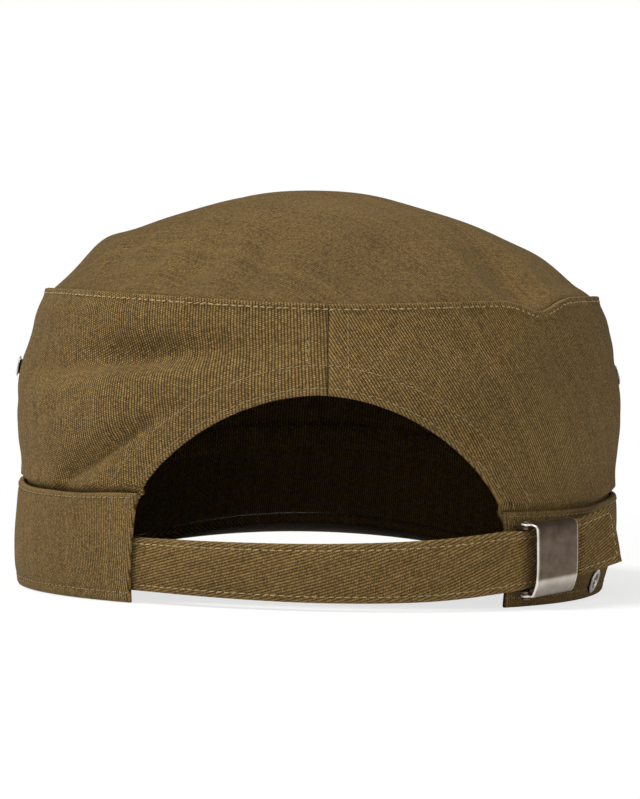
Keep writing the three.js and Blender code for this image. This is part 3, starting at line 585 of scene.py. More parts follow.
def twill(name, pitch, contrast, lift=1.0):
    """Twill whose ridges are this far apart in mm. The contrast stretches the step from the painted
    valley shade to the ridge about its mean, and the lift scales the whole tone."""
    paint = bpy.data.materials.new(name)
    paint.use_nodes = True
    tree = paint.node_tree
    shader = tree.nodes["Principled BSDF"]
    place = add(tree, "UVMap", {"uv_map": "cloth"}).outputs[0]
    solid = add(tree, "TexCoord").outputs["Object"]
    worn = add(tree, "Attribute", {"attribute_name": "wear"}).outputs["Fac"]
    weave = add(tree, "Group", {"node_tree": twill_weave}, Cloth=place, Pitch=pitch,
                Float=pitch * FLOAT_SHARE)
    height, yarn = weave.outputs["Height"], weave.outputs["Yarn"]
    mix = lambda mode, fac, a, b: add(
        tree, "Mix", {"data_type": "RGBA", "blend_type": mode}, i0=fac, i6=a, i7=b).outputs[2]
    # painted shade: the lower the weave lies, the nearer its colour is to the dark valley shade
    depth = calc(tree, "MULTIPLY_ADD", calc(tree, "SUBTRACT", height, MEAN_HEIGHT), contrast,
                 MEAN_HEIGHT)
    body = mix("MIX", depth, VALLEY_SHADE, RIDGE)
    patches = add(tree, "TexNoise", Vector=solid, Scale=PATCH_SCALE, Detail=3.0,
                  Roughness=0.55).outputs[0]
    rubbed = add(tree, "TexNoise", Vector=solid, Scale=RUB_SCALE, Detail=5.0,
                 Roughness=0.7).outputs[0]
    speck = add(tree, "TexNoise", Vector=solid, Scale=SPECK_SCALE, Detail=2.0).outputs[0]
    tone = calc(tree, "MULTIPLY_ADD", calc(tree, "SUBTRACT", yarn, 0.5), 0.75, lift)
    tone = calc(tree, "MULTIPLY_ADD", calc(tree, "SUBTRACT", patches, 0.5), 0.45, tone)
    tone = calc(tree, "MULTIPLY_ADD", calc(tree, "SUBTRACT", speck, 0.5), 0.5, tone)
    grey = add(tree, "CombineColor", i0=tone, i1=tone, i2=tone).outputs[0]
    body = mix("MULTIPLY", 1.0, body, grey)
    red = add(tree, "MapRange", Value=rubbed, i1=0.52, i2=0.75, i3=0.0, i4=0.28).outputs[0]
    body = mix("MIX", red, body, mix("MULTIPLY", 1.0, body, REDDISH))
    pale = calc(tree, "MULTIPLY", worn, add(
        tree, "MapRange", Value=rubbed, i1=0.35, i2=0.7, i3=0.1, i4=0.9).outputs[0])
    pale = calc(tree, "MULTIPLY", pale, calc(tree, "MULTIPLY_ADD", height, 0.8, 0.1))
    body = mix("MIX", pale, body, RUBBED_EDGE)
    tree.links.new(body, shader.inputs["Base Color"])
    fuzz = calc(tree, "MULTIPLY_ADD", speck, 0.35, height)
    bump = add(tree, "Bump", Strength=0.9, Distance=0.00016, Height=fuzz)
    tree.links.new(bump.outputs[0], shader.inputs["Normal"])
    tree.links.new(calc(tree, "MULTIPLY_ADD", height, -0.12, 0.97), shader.inputs["Roughness"])
    shader.inputs["Specular IOR Level"].default_value = 0.15
    shader.inputs["Sheen Weight"].default_value = 0.06
    shader.inputs["Sheen Roughness"].default_value = 0.45
    shader.inputs["Sheen Tint"].default_value = SHEEN
    return paint


paints = {
    "crown_twill": twill("crown_twill", 0.96, 1.15, 0.95),
    # painted shade: the top's cloth is the crown's twill with its tone lowered to 0.78, a darker
    # copy for the dome
    "top_twill_shaded": twill("top_twill_shaded", 0.72, 0.5, 0.78),
    "band_twill": twill("band_twill", 0.72, 1.2, 0.96),
    "strap_twill": twill("strap_twill", 0.85, 1.05, 1.0),
}

# %% [markdown]
# ## Thread and metal
# The thread is a paler olive, with a twist that catches the light. The clasp is brushed steel with a
# brown antique finish, which is rubbed bright along its edges. The eyelets are the same steel,
# polished. Bevel and pointiness could find those edges, but both depend on the renderer, so the
# wear attribute is laid down with the mesh instead.

# %% Thread, steel and eyelet materials
def thread(name, dark, pale):
    """Spun thread with slanting strands and uneven dye."""
    paint = bpy.data.materials.new(name)
    paint.use_nodes = True
    tree = paint.node_tree
    shader = tree.nodes["Principled BSDF"]
    solid = add(tree, "TexCoord").outputs["Object"]
    uneven = add(tree, "TexNoise", Vector=solid, Scale=160.0, Detail=3.0).outputs[0]
    strands = add(tree, "TexWave", {"bands_direction": "DIAGONAL"}, Vector=solid, Scale=900.0,
                  Distortion=1.5).outputs["Fac"]
    tint = add(tree, "Mix", {"data_type": "RGBA"}, i0=uneven, i6=dark, i7=pale)
    tree.links.new(tint.outputs[2], shader.inputs["Base Color"])
    bump = add(tree, "Bump", Strength=0.6, Distance=0.00006, Height=strands)
    tree.links.new(bump.outputs[0], shader.inputs["Normal"])
    shader.inputs["Roughness"].default_value = 0.75
    shader.inputs["Sheen Weight"].default_value = 0.2
    return paint


def steel(name, dark, bright, rough, streak):
    """Brushed metal: streaks along one direction, cloudy finish, and bright worn edges."""
    paint = bpy.data.materials.new(name)
    paint.use_nodes = True
    tree = paint.node_tree
    shader = tree.nodes["Principled BSDF"]
    solid = add(tree, "TexCoord").outputs["Object"]
    worn = add(tree, "Attribute", {"attribute_name": "wear"}).outputs["Fac"]
    stretched = add(tree, "Mapping", Vector=solid, Scale=streak).outputs[0]
    brushed = add(tree, "TexNoise", Vector=stretched, Scale=1.0, Detail=4.0).outputs[0]
    cloud = add(tree, "TexNoise", Vector=solid, Scale=260.0, Detail=3.0).outputs[0]
    # on the clasp's cover the wear attribute also holds a painted reflection of the floor on its
    # lower part, which this mix and the lowered metallic below paint bright
    edge = calc(tree, "MULTIPLY", worn, calc(tree, "MULTIPLY_ADD", cloud, 0.6, 0.6))
    amount = calc(tree, "ADD", calc(tree, "MULTIPLY_ADD", cloud, 0.2, -0.04), edge)
    tint = add(tree, "Mix", {"data_type": "RGBA", "clamp_factor": True}, i0=amount, i6=dark,
               i7=bright)
    tree.links.new(tint.outputs[2], shader.inputs["Base Color"])
    tree.links.new(calc(tree, "MULTIPLY_ADD", brushed, 0.18, rough), shader.inputs["Roughness"])
    bump = add(tree, "Bump", Strength=0.25, Distance=0.00003, Height=brushed)
    tree.links.new(bump.outputs[0], shader.inputs["Normal"])
    tree.links.new(calc(tree, "MULTIPLY_ADD", worn, -0.5, 1.0), shader.inputs["Metallic"])
    return paint


paints["thread"] = thread("thread", linear(118, 98, 58), linear(186, 164, 114))
paints["fine_thread"] = thread("fine_thread", linear(104, 86, 50), linear(158, 136, 90))
paints["clasp_steel"] = steel("clasp_steel", linear(78, 62, 45), linear(236, 228, 218), 0.3,
                              (2600, 2600, 240))
paints["eyelet_steel"] = steel("eyelet_steel", linear(170, 165, 160), linear(235, 232, 228), 0.2,
                               (900, 900, 900))


def dress(piece, slot, body="cap", paint=None):
    """Give a piece its body and its material, which is the one the slot names if no paint is named.
    """
    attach(piece, body)
    piece.data.materials.append(paints[paint or slot])
    return piece


print("materials:", ", ".join(paints))

# %% [markdown]
# ## Stitches
# A lockstitch shows as a row of short, plump dashes of thread, each a little slanted, that sink into
# the cloth at both ends. One dash has 30 points. All the dashes of a piece are worked out together:
# the same small form, carried to each place by three directions.

# %% Stitch rows
rng = np.random.default_rng(7)
DASH_STEPS, DASH_SIDES = 5, 6
DASH_POINTS, DASH_FACES = DASH_STEPS * DASH_SIDES, (DASH_STEPS - 1) * DASH_SIDES + 4
FINE_ROW = {"radius": 0.12, "share": 0.86, "sink": 0.05}  # thin thread, drawn tight


def dashes(rows, pitch=2.35, share=0.74, radius=0.15, sink=0.03, loose=1.0):
    """Points and faces of the dashes along rows of (places, normals). A dash is a tube whose radius
    is the fourth root of one minus the fourth power of the place along it."""
    centres, tangents, normals = [], [], []
    for places, outs in rows:
        steps = np.linalg.norm(np.diff(places, axis=0), axis=1)
        length = np.concatenate([[0], np.cumsum(steps)])
        count = max(int(length[-1] / pitch), 1)
        at = (np.arange(count) + 0.5) * length[-1] / count + rng.uniform(-0.12, 0.12, count) * loose
        take = lambda values, s: np.stack(
            [np.interp(s, length, values[:, k]) for k in range(3)], -1)
        centres.append(take(places, at))
        tangents.append(unit(take(places, at + 0.6) - take(places, at - 0.6)))
        normals.append(unit(take(outs, at)))
    centre, tangent, normal = map(np.concatenate, (centres, tangents, normals))
    side = unit(np.cross(normal, tangent))
    slant = rng.normal(0.1, 0.06 * loose, (len(centre), 1))
    tangent = unit(tangent + side * slant)
    side = unit(np.cross(normal, tangent))
    long = pitch * share * (1 + loose * rng.uniform(-0.12, 0.1, (len(centre), 1, 1)))
    s = np.linspace(-0.5, 0.5, DASH_STEPS)
    girth = np.maximum(1 - (2 * s) ** 4, 0.02) ** 0.25
    angle = np.linspace(0, 2 * np.pi, DASH_SIDES, endpoint=False)
    arch = 0.11 * (1 - (2 * s) ** 2)
    up = (girth[:, None] * radius * 0.8 * np.sin(angle) + arch[:, None] - sink).ravel()
    wide = (girth[:, None] * radius * np.cos(angle)).ravel()
    run = np.repeat(s, DASH_SIDES)
    points = (centre[:, None] + tangent[:, None] * run[:, None] * long
              + side[:, None] * wide[:, None] + normal[:, None] * up[:, None])
    i = np.arange(DASH_STEPS - 1)[:, None] * DASH_SIDES
    j = np.arange(DASH_SIDES)
    k = (j + 1) % DASH_SIDES
    tube = np.stack([i + j, i + k, i + DASH_SIDES + k, i + DASH_SIDES + j], -1).reshape(-1, 4)
    last = (DASH_STEPS - 1) * DASH_SIDES
    caps = np.array([[3, 2, 1, 0], [5, 4, 3, 0], [last, last + 1, last + 2, last + 3],
                     [last, last + 3, last + 4, last + 5]])
    one = np.concatenate([tube, caps])
    base = np.arange(len(centre))[:, None, None] * DASH_POINTS
    return points.reshape(-1, 3), (one[None] + base).reshape(-1, 4).tolist()


def stitch(name, rows, paint="thread", skip=None, **sizes):
    """One object with all the dashes of some rows. Those nearer to a place than a radius, which
    skip gives, are left out."""
    points, faces = dashes(rows, **sizes)
    if skip is not None:
        dash = points.reshape(-1, DASH_POINTS, 3)
        keep = np.linalg.norm(dash.mean(1) - skip[0], axis=1) >= skip[1]
        points = dash[keep].reshape(-1, 3)
        faces = faces[: keep.sum() * DASH_FACES]
    one = make_mesh(name, points, faces)
    dress(one, "thread", paint=paint)
    print(name, len(faces) // DASH_FACES, "stitches")
    return one


# %% [markdown]
# ## The side panels
# Two side panels meet in the middle of the back and a front panel runs over the peak. Their lower
# edge goes behind the band, and between the band's ends it is the edge of the rear opening, which
# is turned in and sewn down with two rows. Cloth dimples where thread pulls it, so the relief takes
# a shallow groove along each row, deeper at each needle hole.

# %% The surface of the side wall's cloth
CREASES = np.array([  # turn, height share, turn spread, height spread, depth in mm, climb
    [40, 0.8, 17, 0.045, 4.8, -0.0016], [63, 0.74, 14, 0.05, 2.2, 0.001],
    [33, 0.66, 9, 0.035, 0.5, 0.004], [60, 0.6, 10, 0.03, 0.9, -0.006],
    [38, 0.54, 9, 0.03, 1.5, -0.009], [53, 0.4, 9, 0.03, 1.2, -0.009],
    [-50, 0.8, 5, 0.11, 1.5, 0.004], [-66, 0.7, 7, 0.08, 0.9, -0.006],
    [-40, 0.6, 10, 0.05, 0.35, 0.006], [-75, 0.5, 12, 0.05, 0.6, 0.004],
    [-24, 0.85, 8, 0.04, 0.3, 0.004], [80, 0.6, 10, 0.05, 0.6, 0.003],
    [120, 0.7, 9, 0.06, 0.7, 0.006], [-122, 0.55, 10, 0.06, 0.7, -0.006],
    [165, 0.6, 12, 0.08, 0.5, 0.003], [-165, 0.75, 12, 0.06, 0.5, -0.003]])
NEEDLE_PITCH = 2.35
ARCH_ROWS = (1.9, 8.2)
SEAM_ROW, BACK_ROW, LIP = 1.7, 5.8, 0.7
SEAMS = (0.0, FRONT_SEAM, -FRONT_SEAM)


def crown_point(turn, height):
    """The crown's cloth: the wall, set in behind the band, less its small creases."""
    share = height / seam_height(turn)
    depth = wall_inset(turn, height)
    for t, h, ts, hs, deep, climb in CREASES:
        along = turn_between(t, turn)
        depth = depth + deep * hump(along, ts) * hump(share - h - climb * along, hs)
    ripple = np.sin(length_at(turn) * 0.5 + np.sin(height * 0.35)) * np.sin(height * 0.4)
    return wall_depth(turn, height, depth + 0.08 * ripple)


def furrow(distance, along, depth=0.28, width=0.75):
    """A groove along a stitch row, deeper at every needle hole."""
    return depth * hump(distance, width) * (0.7 + 0.3 * np.cos(2 * np.pi * along / NEEDLE_PITCH))


def opening_distance(x, z):
    """Millimetres from the opening's edge, from the ellipse's own measure over its slope."""
    wide, tall, p = OPEN_HALF_WIDTH, OPEN_TOP - OPEN_CENTRE, OPEN_FULLNESS
    u, v = np.abs(x - OPEN_MIDDLE) / wide, np.maximum(z - OPEN_CENTRE, 0) / tall
    q = np.maximum(u**p + v**p, 1e-6) ** (1 / p)
    slope = np.hypot(u ** (p - 1) / wide, v ** (p - 1) / tall) / q ** (p - 1)
    return (q - 1) / np.maximum(slope, 1e-6)


def crown_relief(turn, height):
    """How far the outer face stands out of the cloth's own form: folded layers beside each sewn
    edge, a lip along the top, and a furrow along each stitch row."""
    top = seam_height(turn)
    run = length_at(turn)
    relief = LIP * ease(height, top - 3.2, top - 0.6) - furrow(top - height - SEAM_ROW, run, 0.35)
    for seam in SEAMS:
        beside = np.abs(turn_between(seam, turn)) * (np.pi / 180) * CROWN_BACK
        relief = relief - furrow(beside - BACK_ROW, height) - 0.8 * hump(beside, 0.7)
        relief = relief + 0.25 * (1 - ease(beside, BACK_ROW, BACK_ROW + 1.4))
    at = wall_point(turn, height)
    away = np.where(at[..., 1] > 0, opening_distance(at[..., 0], at[..., 2]), 99)
    for row in ARCH_ROWS:
        relief = relief - furrow(away - row, at[..., 0], 0.25)
    return relief + 0.3 * (1 - ease(away, ARCH_ROWS[1], ARCH_ROWS[1] + 1.5))


print("relief at the lip:", round(float(crown_relief(np.array(60.0), seam_height(60.0))), 2), "mm")

# %% Side panels and front panel
VENT_TURN, VENT_HEIGHT, VENT_HOLE, VENT_FLANGE = 88.0, 66.8, 1.7, 3.2
BAND_EYELET_TURN, BAND_EYELET_HEIGHT, BAND_HOLE, BAND_FLANGE = -65.5, 5.4, 2.1, 3.9
EYELET_BARREL, EYELET_SHEET, FACE_GAP, BACK_GAP = 0.45, 0.6, 0.4, 0.6
PANEL_STEP, PANEL_ROWS, SEAM_SLIT, WARP_LEAN, BIAS_LEAN = 0.85, 76, 0.08, 3.5, 33.0
OPEN_TUCK = 0.6  # how far the panel goes below the level of the band's top beside the opening


def wall_panel(name, start, end, angle, scale=1.0, vent=None):
    """The wall between two seams, from the band or the opening's edge up to the top seam."""
    low, high = length_at(start) + SEAM_SLIT, length_at(end) - SEAM_SLIT
    run = low + edge_steps(high - low, CROWN_CLOTH / 2, int((high - low) / PANEL_STEP))
    turn = turn_at_length(run)
    aside = turn_between(0, turn)
    behind = (ease(aside, BAND_LEFT[1], BAND_LEFT[1] + 2)
              + ease(-aside, -BAND_RIGHT[1], 2 - BAND_RIGHT[1]))
    lowest = band_top(turn) - OPEN_TUCK - (WALL_TUCK - OPEN_TUCK) * behind
    bottom = lowest
    for _ in range(4):
        edge = opening_edge(wall_point(turn, bottom)[..., 0])
        bottom = np.where(np.abs(aside) < 60, np.maximum(edge, lowest), bottom)
    rise = seam_height(turn) - bottom
    height = bottom[:, None] + edge_steps(rise, CROWN_CLOTH / 2, PANEL_ROWS)
    turns = np.broadcast_to(turn[:, None], height.shape)
    places = turned(np.stack([run[:, None] + 0 * height, height], -1), angle) * scale
    hole = None
    if vent is not None:
        hole = (crown_point(np.array(vent), VENT_HEIGHT), VENT_HOLE + EYELET_BARREL + SEWN_GAP)
    panel = slab(name, crown_point(turns, height), CROWN_CLOTH, places, flip=True,
                 relief=crown_relief(turns, height), hole=hole)
    print(name, len(panel.data.polygons), "faces")
    return dress(panel, "crown_twill")


panel_left = wall_panel("panel_left", 0.0, FRONT_SEAM, WARP_LEAN, vent=VENT_TURN)
panel_right = wall_panel("panel_right", -FRONT_SEAM, 0.0, BIAS_LEAN, 1.2, vent=-VENT_TURN)
panel_front = wall_panel("panel_front", FRONT_SEAM, 360 - FRONT_SEAM, WARP_LEAN)
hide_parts("side_panel_left")
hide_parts("side_panel_right")
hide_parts("front_panel")

# %% [markdown]
# ## The top
# The top panel is a disc of cloth that is wider than the seam it is sewn to, so it puffs up and its
# edge gathers into small radial folds. It is a grid of spokes and rings that closes at a pole. Its
# edge is turned down inside the wall. The place on the cloth is the length along each spoke, laid
# out flat by its turn, so the weave runs over the dome without a stretch.

# %% Top panel
# columns: turn, turn spread, place outwards, outward spread, depth in mm
FINE_FOLDS = np.array([
    [31, 4.5, 0.8, 0.2, 3.4], [15, 5.0, 0.74, 0.22, 3.4], [-47, 4.5, 0.84, 0.16, 2.0],
    [38, 2.6, 0.93, 0.09, 0.8], [24, 2.2, 0.95, 0.08, 0.6], [8, 2.4, 0.94, 0.08, 0.5],
    [44, 3.6, 0.8, 0.16, 1.9], [-5, 3.0, 0.9, 0.12, 0.9], [-19, 3.0, 0.9, 0.11, 0.9],
    [-30, 2.6, 0.93, 0.09, 0.7], [-38, 2.2, 0.9, 0.1, 0.6], [-52, 2.8, 0.92, 0.1, 0.8],
    [-60, 2.6, 0.94, 0.08, 0.6], [58, 3.6, 0.84, 0.15, 1.8], [67, 2.6, 0.95, 0.08, 0.6],
    [-74, 3.0, 0.93, 0.09, 0.7], [86, 3.0, 0.93, 0.09, 0.7], [97, 3.0, 0.94, 0.08, 0.5],
    [118, 3.0, 0.93, 0.09, 0.6], [130, 3.0, 0.94, 0.08, 0.5], [155, 3.0, 0.93, 0.09, 0.6],
    [167, 3.0, 0.94, 0.08, 0.4], [-85, 3.0, 0.93, 0.09, 0.6], [-109, 3.0, 0.94, 0.08, 0.6],
    [-122, 3.0, 0.93, 0.09, 0.6], [-148, 3.0, 0.94, 0.08, 0.6], [-162, 3.0, 0.93, 0.09, 0.5]])
SPOKES, RINGS, FLANGE_ROWS, TOP_WEAVE = 480, 78, 8, 132


def top_point(turn, out):
    """The dome: it rises by one minus a power of the way out, less its gathers, over a level that
    follows the seam, and it is as wide at each level as the seam times the way out."""
    edge = wall_depth(turn, seam_height(turn), CROWN_CLOTH + SEWN_GAP + 0 * turn)
    middle = (CROWN_BACK * SECTIONS[-1, 2] - CROWN_FRONT * SECTIONS[-1, 3]) / 2
    centre = (SEAM_BACK + SEAM_FRONT) / 2
    level = centre + (seam_level(turn) - centre) * out**2
    sag = (edge[..., 2] - seam_level(turn)) * ease(out, 0.6, 1)
    gather = 0
    for t, ts, place, spread, depth in TOP_GATHERS:
        beside = hump(turn_between(t, turn), ts / np.maximum(out, 0.3))
        gather = gather + depth * beside * hump(out - place, spread)
    for t, ts, place, spread, depth in FINE_FOLDS:
        beside = hump(turn_between(t, turn), ts / np.maximum(out, 0.3))
        gather = gather + depth / DOME_RISE * beside * hump(out - place, spread)
    rise = DOME_RISE * (1 - out**DOME_POWER - gather * (1 - ease(out, 0.93, 1)))
    y = middle + (edge[..., 1] - middle) * out
    return np.stack([edge[..., 0] * out, y, level + sag + rise], -1)


spokes = np.arange(SPOKES)[:, None] * 360 / SPOKES
rings = (np.arange(1, RINGS + 1)[None] / RINGS) ** 0.85
dome = top_point(*np.broadcast_arrays(spokes, rings))
below = edge_steps(TOP_FLANGE, CROWN_CLOTH / 2, FLANGE_ROWS)[None, 1:]
spoke_turns, below = np.broadcast_arrays(spokes, below)
turned_in = wall_depth(spoke_turns, seam_height(spoke_turns) - below,
                       CROWN_CLOTH + SEWN_GAP + 0 * below)
grid = np.concatenate([dome, turned_in], 1)
pole = top_point(np.zeros(1), np.zeros(1))[0]
reach = from_ends(grid, 1)[0] + np.linalg.norm(grid[:, :1] - pole, axis=-1)
angle = np.radians(spokes)
laid_out = turned(np.stack([reach * np.sin(angle), reach * np.cos(angle)], -1), TOP_WEAVE)
top = slab("crown_top", grid, CROWN_CLOTH, laid_out, pole=pole)
# the dome takes the darker copy of the twill, painted shade over the top
dress(top, "crown_twill", paint="top_twill_shaded")
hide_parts("top_panel")
print("crown_top", len(top.data.polygons), "faces, pole at", np.round(pole, 1))

# %% [markdown]
# ## The band
# The band is a doubled strip with its edges turned in. It starts and ends at the rear opening with
# two rows down each end, and has a row under its upper edge and one above its lower edge. At the
# front its lower edge rides up over the peak.

# %% Band
BAND_TOP_ROW, BAND_LOW_ROW, BAND_END_ROWS = 1.5, 3.0, (3.0, 8.2)
BAND_WEAVE, BAND_COLUMNS, BAND_ROWS = 5.0, 540, 40
BAND_SINK = 0.2  # how far the band's lower edge sinks into the cloth of the peak


def band_lower_edge(turn):
    """The ground, with a short ramp up to the peak's upper side."""
    from_front = np.abs(turn_between(180, turn))
    on_peak = np.clip((PEAK_HALF_TURN + 0.7 - from_front) / 0.7, 0, 1)
    return on_peak * (front_lift(turn) + PEAK_THICKNESS - BAND_SINK)


def band_end(end, height):
    """The length round the wall of a slanted end of the band, at a height."""
    bottom, upper = end
    return length_at(bottom + (upper - bottom) * np.clip(height / BAND_HEIGHT, 0, 1))


def left_end(height):
    """The length round the wall of the band's left end."""
    return band_end(BAND_LEFT, height)


def right_end(height):
    """The length round the wall of the band's right end, a full round on."""
    return band_end(BAND_RIGHT, height) + ring_length[-1]


def band_relief(run, height, turn):
    """Turned-in edges that stand up a little, and the furrows of the rows."""
    top, low = band_top(turn), band_lower_edge(turn)
    relief = 0.25 * ease(height, top - 2.6, top - 0.8) - furrow(top - height - BAND_TOP_ROW, run)
    relief += 0.2 * (1 - ease(height - low, 2.2, 3.4)) - furrow(height - low - BAND_LOW_ROW, run)
    for beside in (run - left_end(height), right_end(height) - run):
        for row in BAND_END_ROWS:
            relief = relief - furrow(beside - row, height, 0.2)
        relief = relief + 0.2 * (1 - ease(beside, 8.2, 9.6))
    slow = np.sin(run * 0.11 + 1.3 * np.sin(height * 0.09)) * np.sin(run * 0.047 + 2.0)
    return relief + 0.35 * slow * ease(height - low, 3, 10) * ease(top - height, 3, 10)


start, finish = left_end(BAND_HEIGHT), right_end(BAND_HEIGHT)
share_round = edge_steps(finish - start, BAND_CLOTH / 2, BAND_COLUMNS)
share_round = (share_round / share_round[-1])[:, None]
run = start + share_round * (finish - start)
for _ in range(3):
    turn = turn_at_length(run)
    low = band_lower_edge(turn)
    rise = (band_top(turn) - low)[:, -1]
    height = low[:, -1:] + edge_steps(rise, BAND_CLOTH / 2, BAND_ROWS)
    left, right = left_end(height), right_end(height)
    run = left + share_round * (right - left)
turn = turn_at_length(run)
eyelet_place = wall_point(BAND_EYELET_TURN, BAND_EYELET_HEIGHT)
band = slab("band_cloth", wall_point(turn, height), BAND_CLOTH,
            turned(np.stack([run, height], -1), BAND_WEAVE), flip=True,
            relief=band_relief(run, height, turn),
            hole=(eyelet_place, BAND_HOLE + EYELET_BARREL + SEWN_GAP))
dress(band, "band_twill")
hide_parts("band")
print("band_cloth", len(band.data.polygons), "faces")

# %% [markdown]
# ## The peak
# The peak is a stiff board in cloth. The photo does not show it, so it is plain: an arched crescent
# with a rounded edge and evenly spaced rows of stitches, as such caps have. Each line of the grid
# runs from the root under the band out to the edge.

# %% Peak
PEAK_ROWS = (2.6, 10.0, 17.4, 24.8, 32.2)


def peak_point(share, outward):
    """From the root, which follows the band, to the edge, whose depth is a power of a cosine. The
    height is the thickness and the arch at that distance aside."""
    turn = 180 + (PEAK_HALF_TURN - PEAK_ROOT_EASE) * share
    root = wall_depth(turn, PEAK_THICKNESS + 0 * turn, BAND_CLOTH + 0 * turn)
    swing = share * np.pi / 2
    length = PEAK_ROOT[1] + CROWN_FRONT * SECTIONS[0, 3] + PEAK_REACH
    nose = PEAK_THICKNESS / 3
    aside = -(PEAK_ROOT_HALF_WIDTH + PEAK_END_WIDTH) * np.sin(swing)
    ahead = PEAK_ROOT[1] - (length + nose) * np.maximum(np.cos(swing), 0) ** PEAK_CORNER
    x = root[..., 0] + (aside - root[..., 0]) * outward
    y = root[..., 1] + (ahead - root[..., 1]) * outward
    return np.stack([x, y, PEAK_THICKNESS + peak_lift(x, outward)], -1)


share, outward = np.meshgrid(np.sin(np.linspace(-1, 1, 241) * np.pi / 2),
                             np.linspace(0, 1, 64) ** 0.9, indexing="ij")
sheet = peak_point(share, outward)
to_edge = from_ends(sheet, 1)[1]
grooves = sum(furrow(to_edge - row, sheet[..., 0], 0.22, 0.8) for row in PEAK_ROWS)
peak = slab("peak_cloth", sheet, PEAK_THICKNESS, turned(sheet[..., :2], 40.0), relief=-grooves,
            lean=np.array([0.0, 0.0, 1.0]), radius=PEAK_THICKNESS / 3)
dress(peak, "band_twill")
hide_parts("peak")
print("peak_cloth", len(peak.data.polygons), "faces")

# %% [markdown]
# ## The strap
# The strap is a folded strip, sewn inside the left end of the band. It follows the wall across the
# opening, comes out in front of the right end, and runs straight through the clasp to its free
# tail. A few sections are worked out, and a smooth curve through each line of their points gives
# the rest.

# %% Strap
STRAP_WIDTH, STRAP_SEWN, STRAP_EASE, STRAP_TAIL = 17.0, 43.0, 0.5, 23.5
TAIL_TWIST, TAIL_RISE, CLASP_TILT, CLASP_TURN, CLASP_HEIGHT = 14.0, 0.18, 4.5, -41.1, 14.8
CLASP_LENGTH, CLASP_SHEET, CLASP_GAP, STRAP_ROW = 18.2, 0.7, 0.4, 1.8
ABOVE_BAND = 2 * SEWN_GAP + CLASP_SHEET + STRAP_CLOTH / 2
# columns: minus the turn, height of the middle, width, as shares of the strap's width
STATIONS = np.array([[-43, 0.64, 0.93], [-35.4, 0.64, 0.94], [-18, 0.62, 0.96], [0, 0.62, 0.98],
                     [18, 0.68, 1.0], [33.2, 0.81, 1.0], [41.1, CLASP_HEIGHT / STRAP_WIDTH, 1.0]])

# place along the strap, place across it, lean and depth of each small fold
STRAP_FOLDS = ((58, 2, 0.5, 0.3), (74, -3, -0.6, 0.25), (102, 4, 0.35, 0.3), (121, -4, 0.8, 0.25),
               (88, 5, -0.3, 0.2))
STRAP_WEAVE, CREASE_PAST_CLASP = 73.0, 6.0

seat, seat_out, seat_up, seat_along = wall_frame(np.array(CLASP_TURN), np.array(CLASP_HEIGHT))
tilt = np.radians(CLASP_TILT)
clasp_x = seat_along * np.cos(tilt) - seat_up * np.sin(tilt)
clasp_z = seat_along * np.sin(tilt) + seat_up * np.cos(tilt)
clasp_axes = np.stack([clasp_x, seat_out, clasp_z])
clasp_middle = seat + seat_out * ABOVE_BAND


def in_clasp(places):
    """From the clasp's own axes (towards the opening, outwards, up the strap) to the cap's."""
    return clasp_middle + np.asarray(places) @ clasp_axes


across = edge_steps(1.0, STRAP_CLOTH / 2 / STRAP_WIDTH, 30) - 0.5
sections = []
for turn in np.linspace(STRAP_SEWN, CLASP_TURN + 9, 25):
    middle, width = (STRAP_WIDTH * along_table(STATIONS, k, -turn) for k in (1, 2))
    crossing = 1 - ease(turn, BAND_RIGHT[1] + 2, BAND_LEFT[1])
    inside = -(BAND_CLOTH + STRAP_EASE + STRAP_CLOTH / 2)
    away = inside + (ABOVE_BAND - inside) * crossing + STRAP_CLOTH / 2
    sections.append(wall_depth(turn + 0 * across, middle + across * width, -away + 0 * across))
for along in np.linspace(-CLASP_LENGTH / 2 - 2, CLASP_LENGTH / 2 + STRAP_TAIL, 11):
    past = max(along - CLASP_LENGTH / 2, 0) / STRAP_TAIL
    twist = np.radians(TAIL_TWIST * past * past)
    up, out = across * STRAP_WIDTH, STRAP_CLOTH / 2
    sections.append(in_clasp(np.stack([
        0 * up - along, out * np.cos(twist) - up * np.sin(twist),
        out * np.sin(twist) + up * np.cos(twist) + STRAP_WIDTH * TAIL_RISE * past], -1)))
sections = np.array(sections)
middle_line = sections[:, len(across) // 2]
station = np.concatenate([[0], np.cumsum(np.linalg.norm(np.diff(middle_line, axis=0), axis=1))])
strap_length = station[-1]
along = edge_steps(strap_length, STRAP_CLOTH / 2, 330)
lines = np.concatenate([station[:, None], sections.reshape(len(sections), -1)], 1)
strap_grid = np.stack([along_table(lines, k, along) for k in range(1, lines.shape[1])], -1)
strap_grid = strap_grid.reshape(len(along), len(across), 3)
TAIL_START = strap_length - STRAP_TAIL
s, t = np.meshgrid(along, across * STRAP_WIDTH, indexing="ij")
from_edge = STRAP_WIDTH / 2 - np.abs(t)
strap_relief = -furrow(from_edge - STRAP_ROW, s, 0.3)
strap_relief -= furrow(strap_length - s - 2.0, t, 0.3)
strap_relief += 0.12 * ease(from_edge, 2.5, 5)
strap_relief -= 0.8 * hump(s - TAIL_START - CREASE_PAST_CLASP - 0.08 * t, 1.0)
for place, height, lean, deep in STRAP_FOLDS:
    fold = hump(s - place - lean * (t - height), 1.6) * hump(t - height, 5.0)
    strap_relief -= deep * fold
strap_relief += 0.05 * np.cos(2 * np.pi * s / 1.1) * hump(from_edge, 0.8)
strap = slab("strap_cloth", strap_grid, STRAP_CLOTH, turned(np.stack([s, t], -1), STRAP_WEAVE),
             relief=strap_relief)
dress(strap, "strap_twill")
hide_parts("strap")
print("strap", round(strap_length, 1), "mm long,", len(strap.data.polygons), "faces")

# %% [markdown]
# ## Rows of stitches
# The rows lie on the cloth's outer face, in the furrows. Each is a line of places and the outward
# direction at each place, and the dashes are set along it.

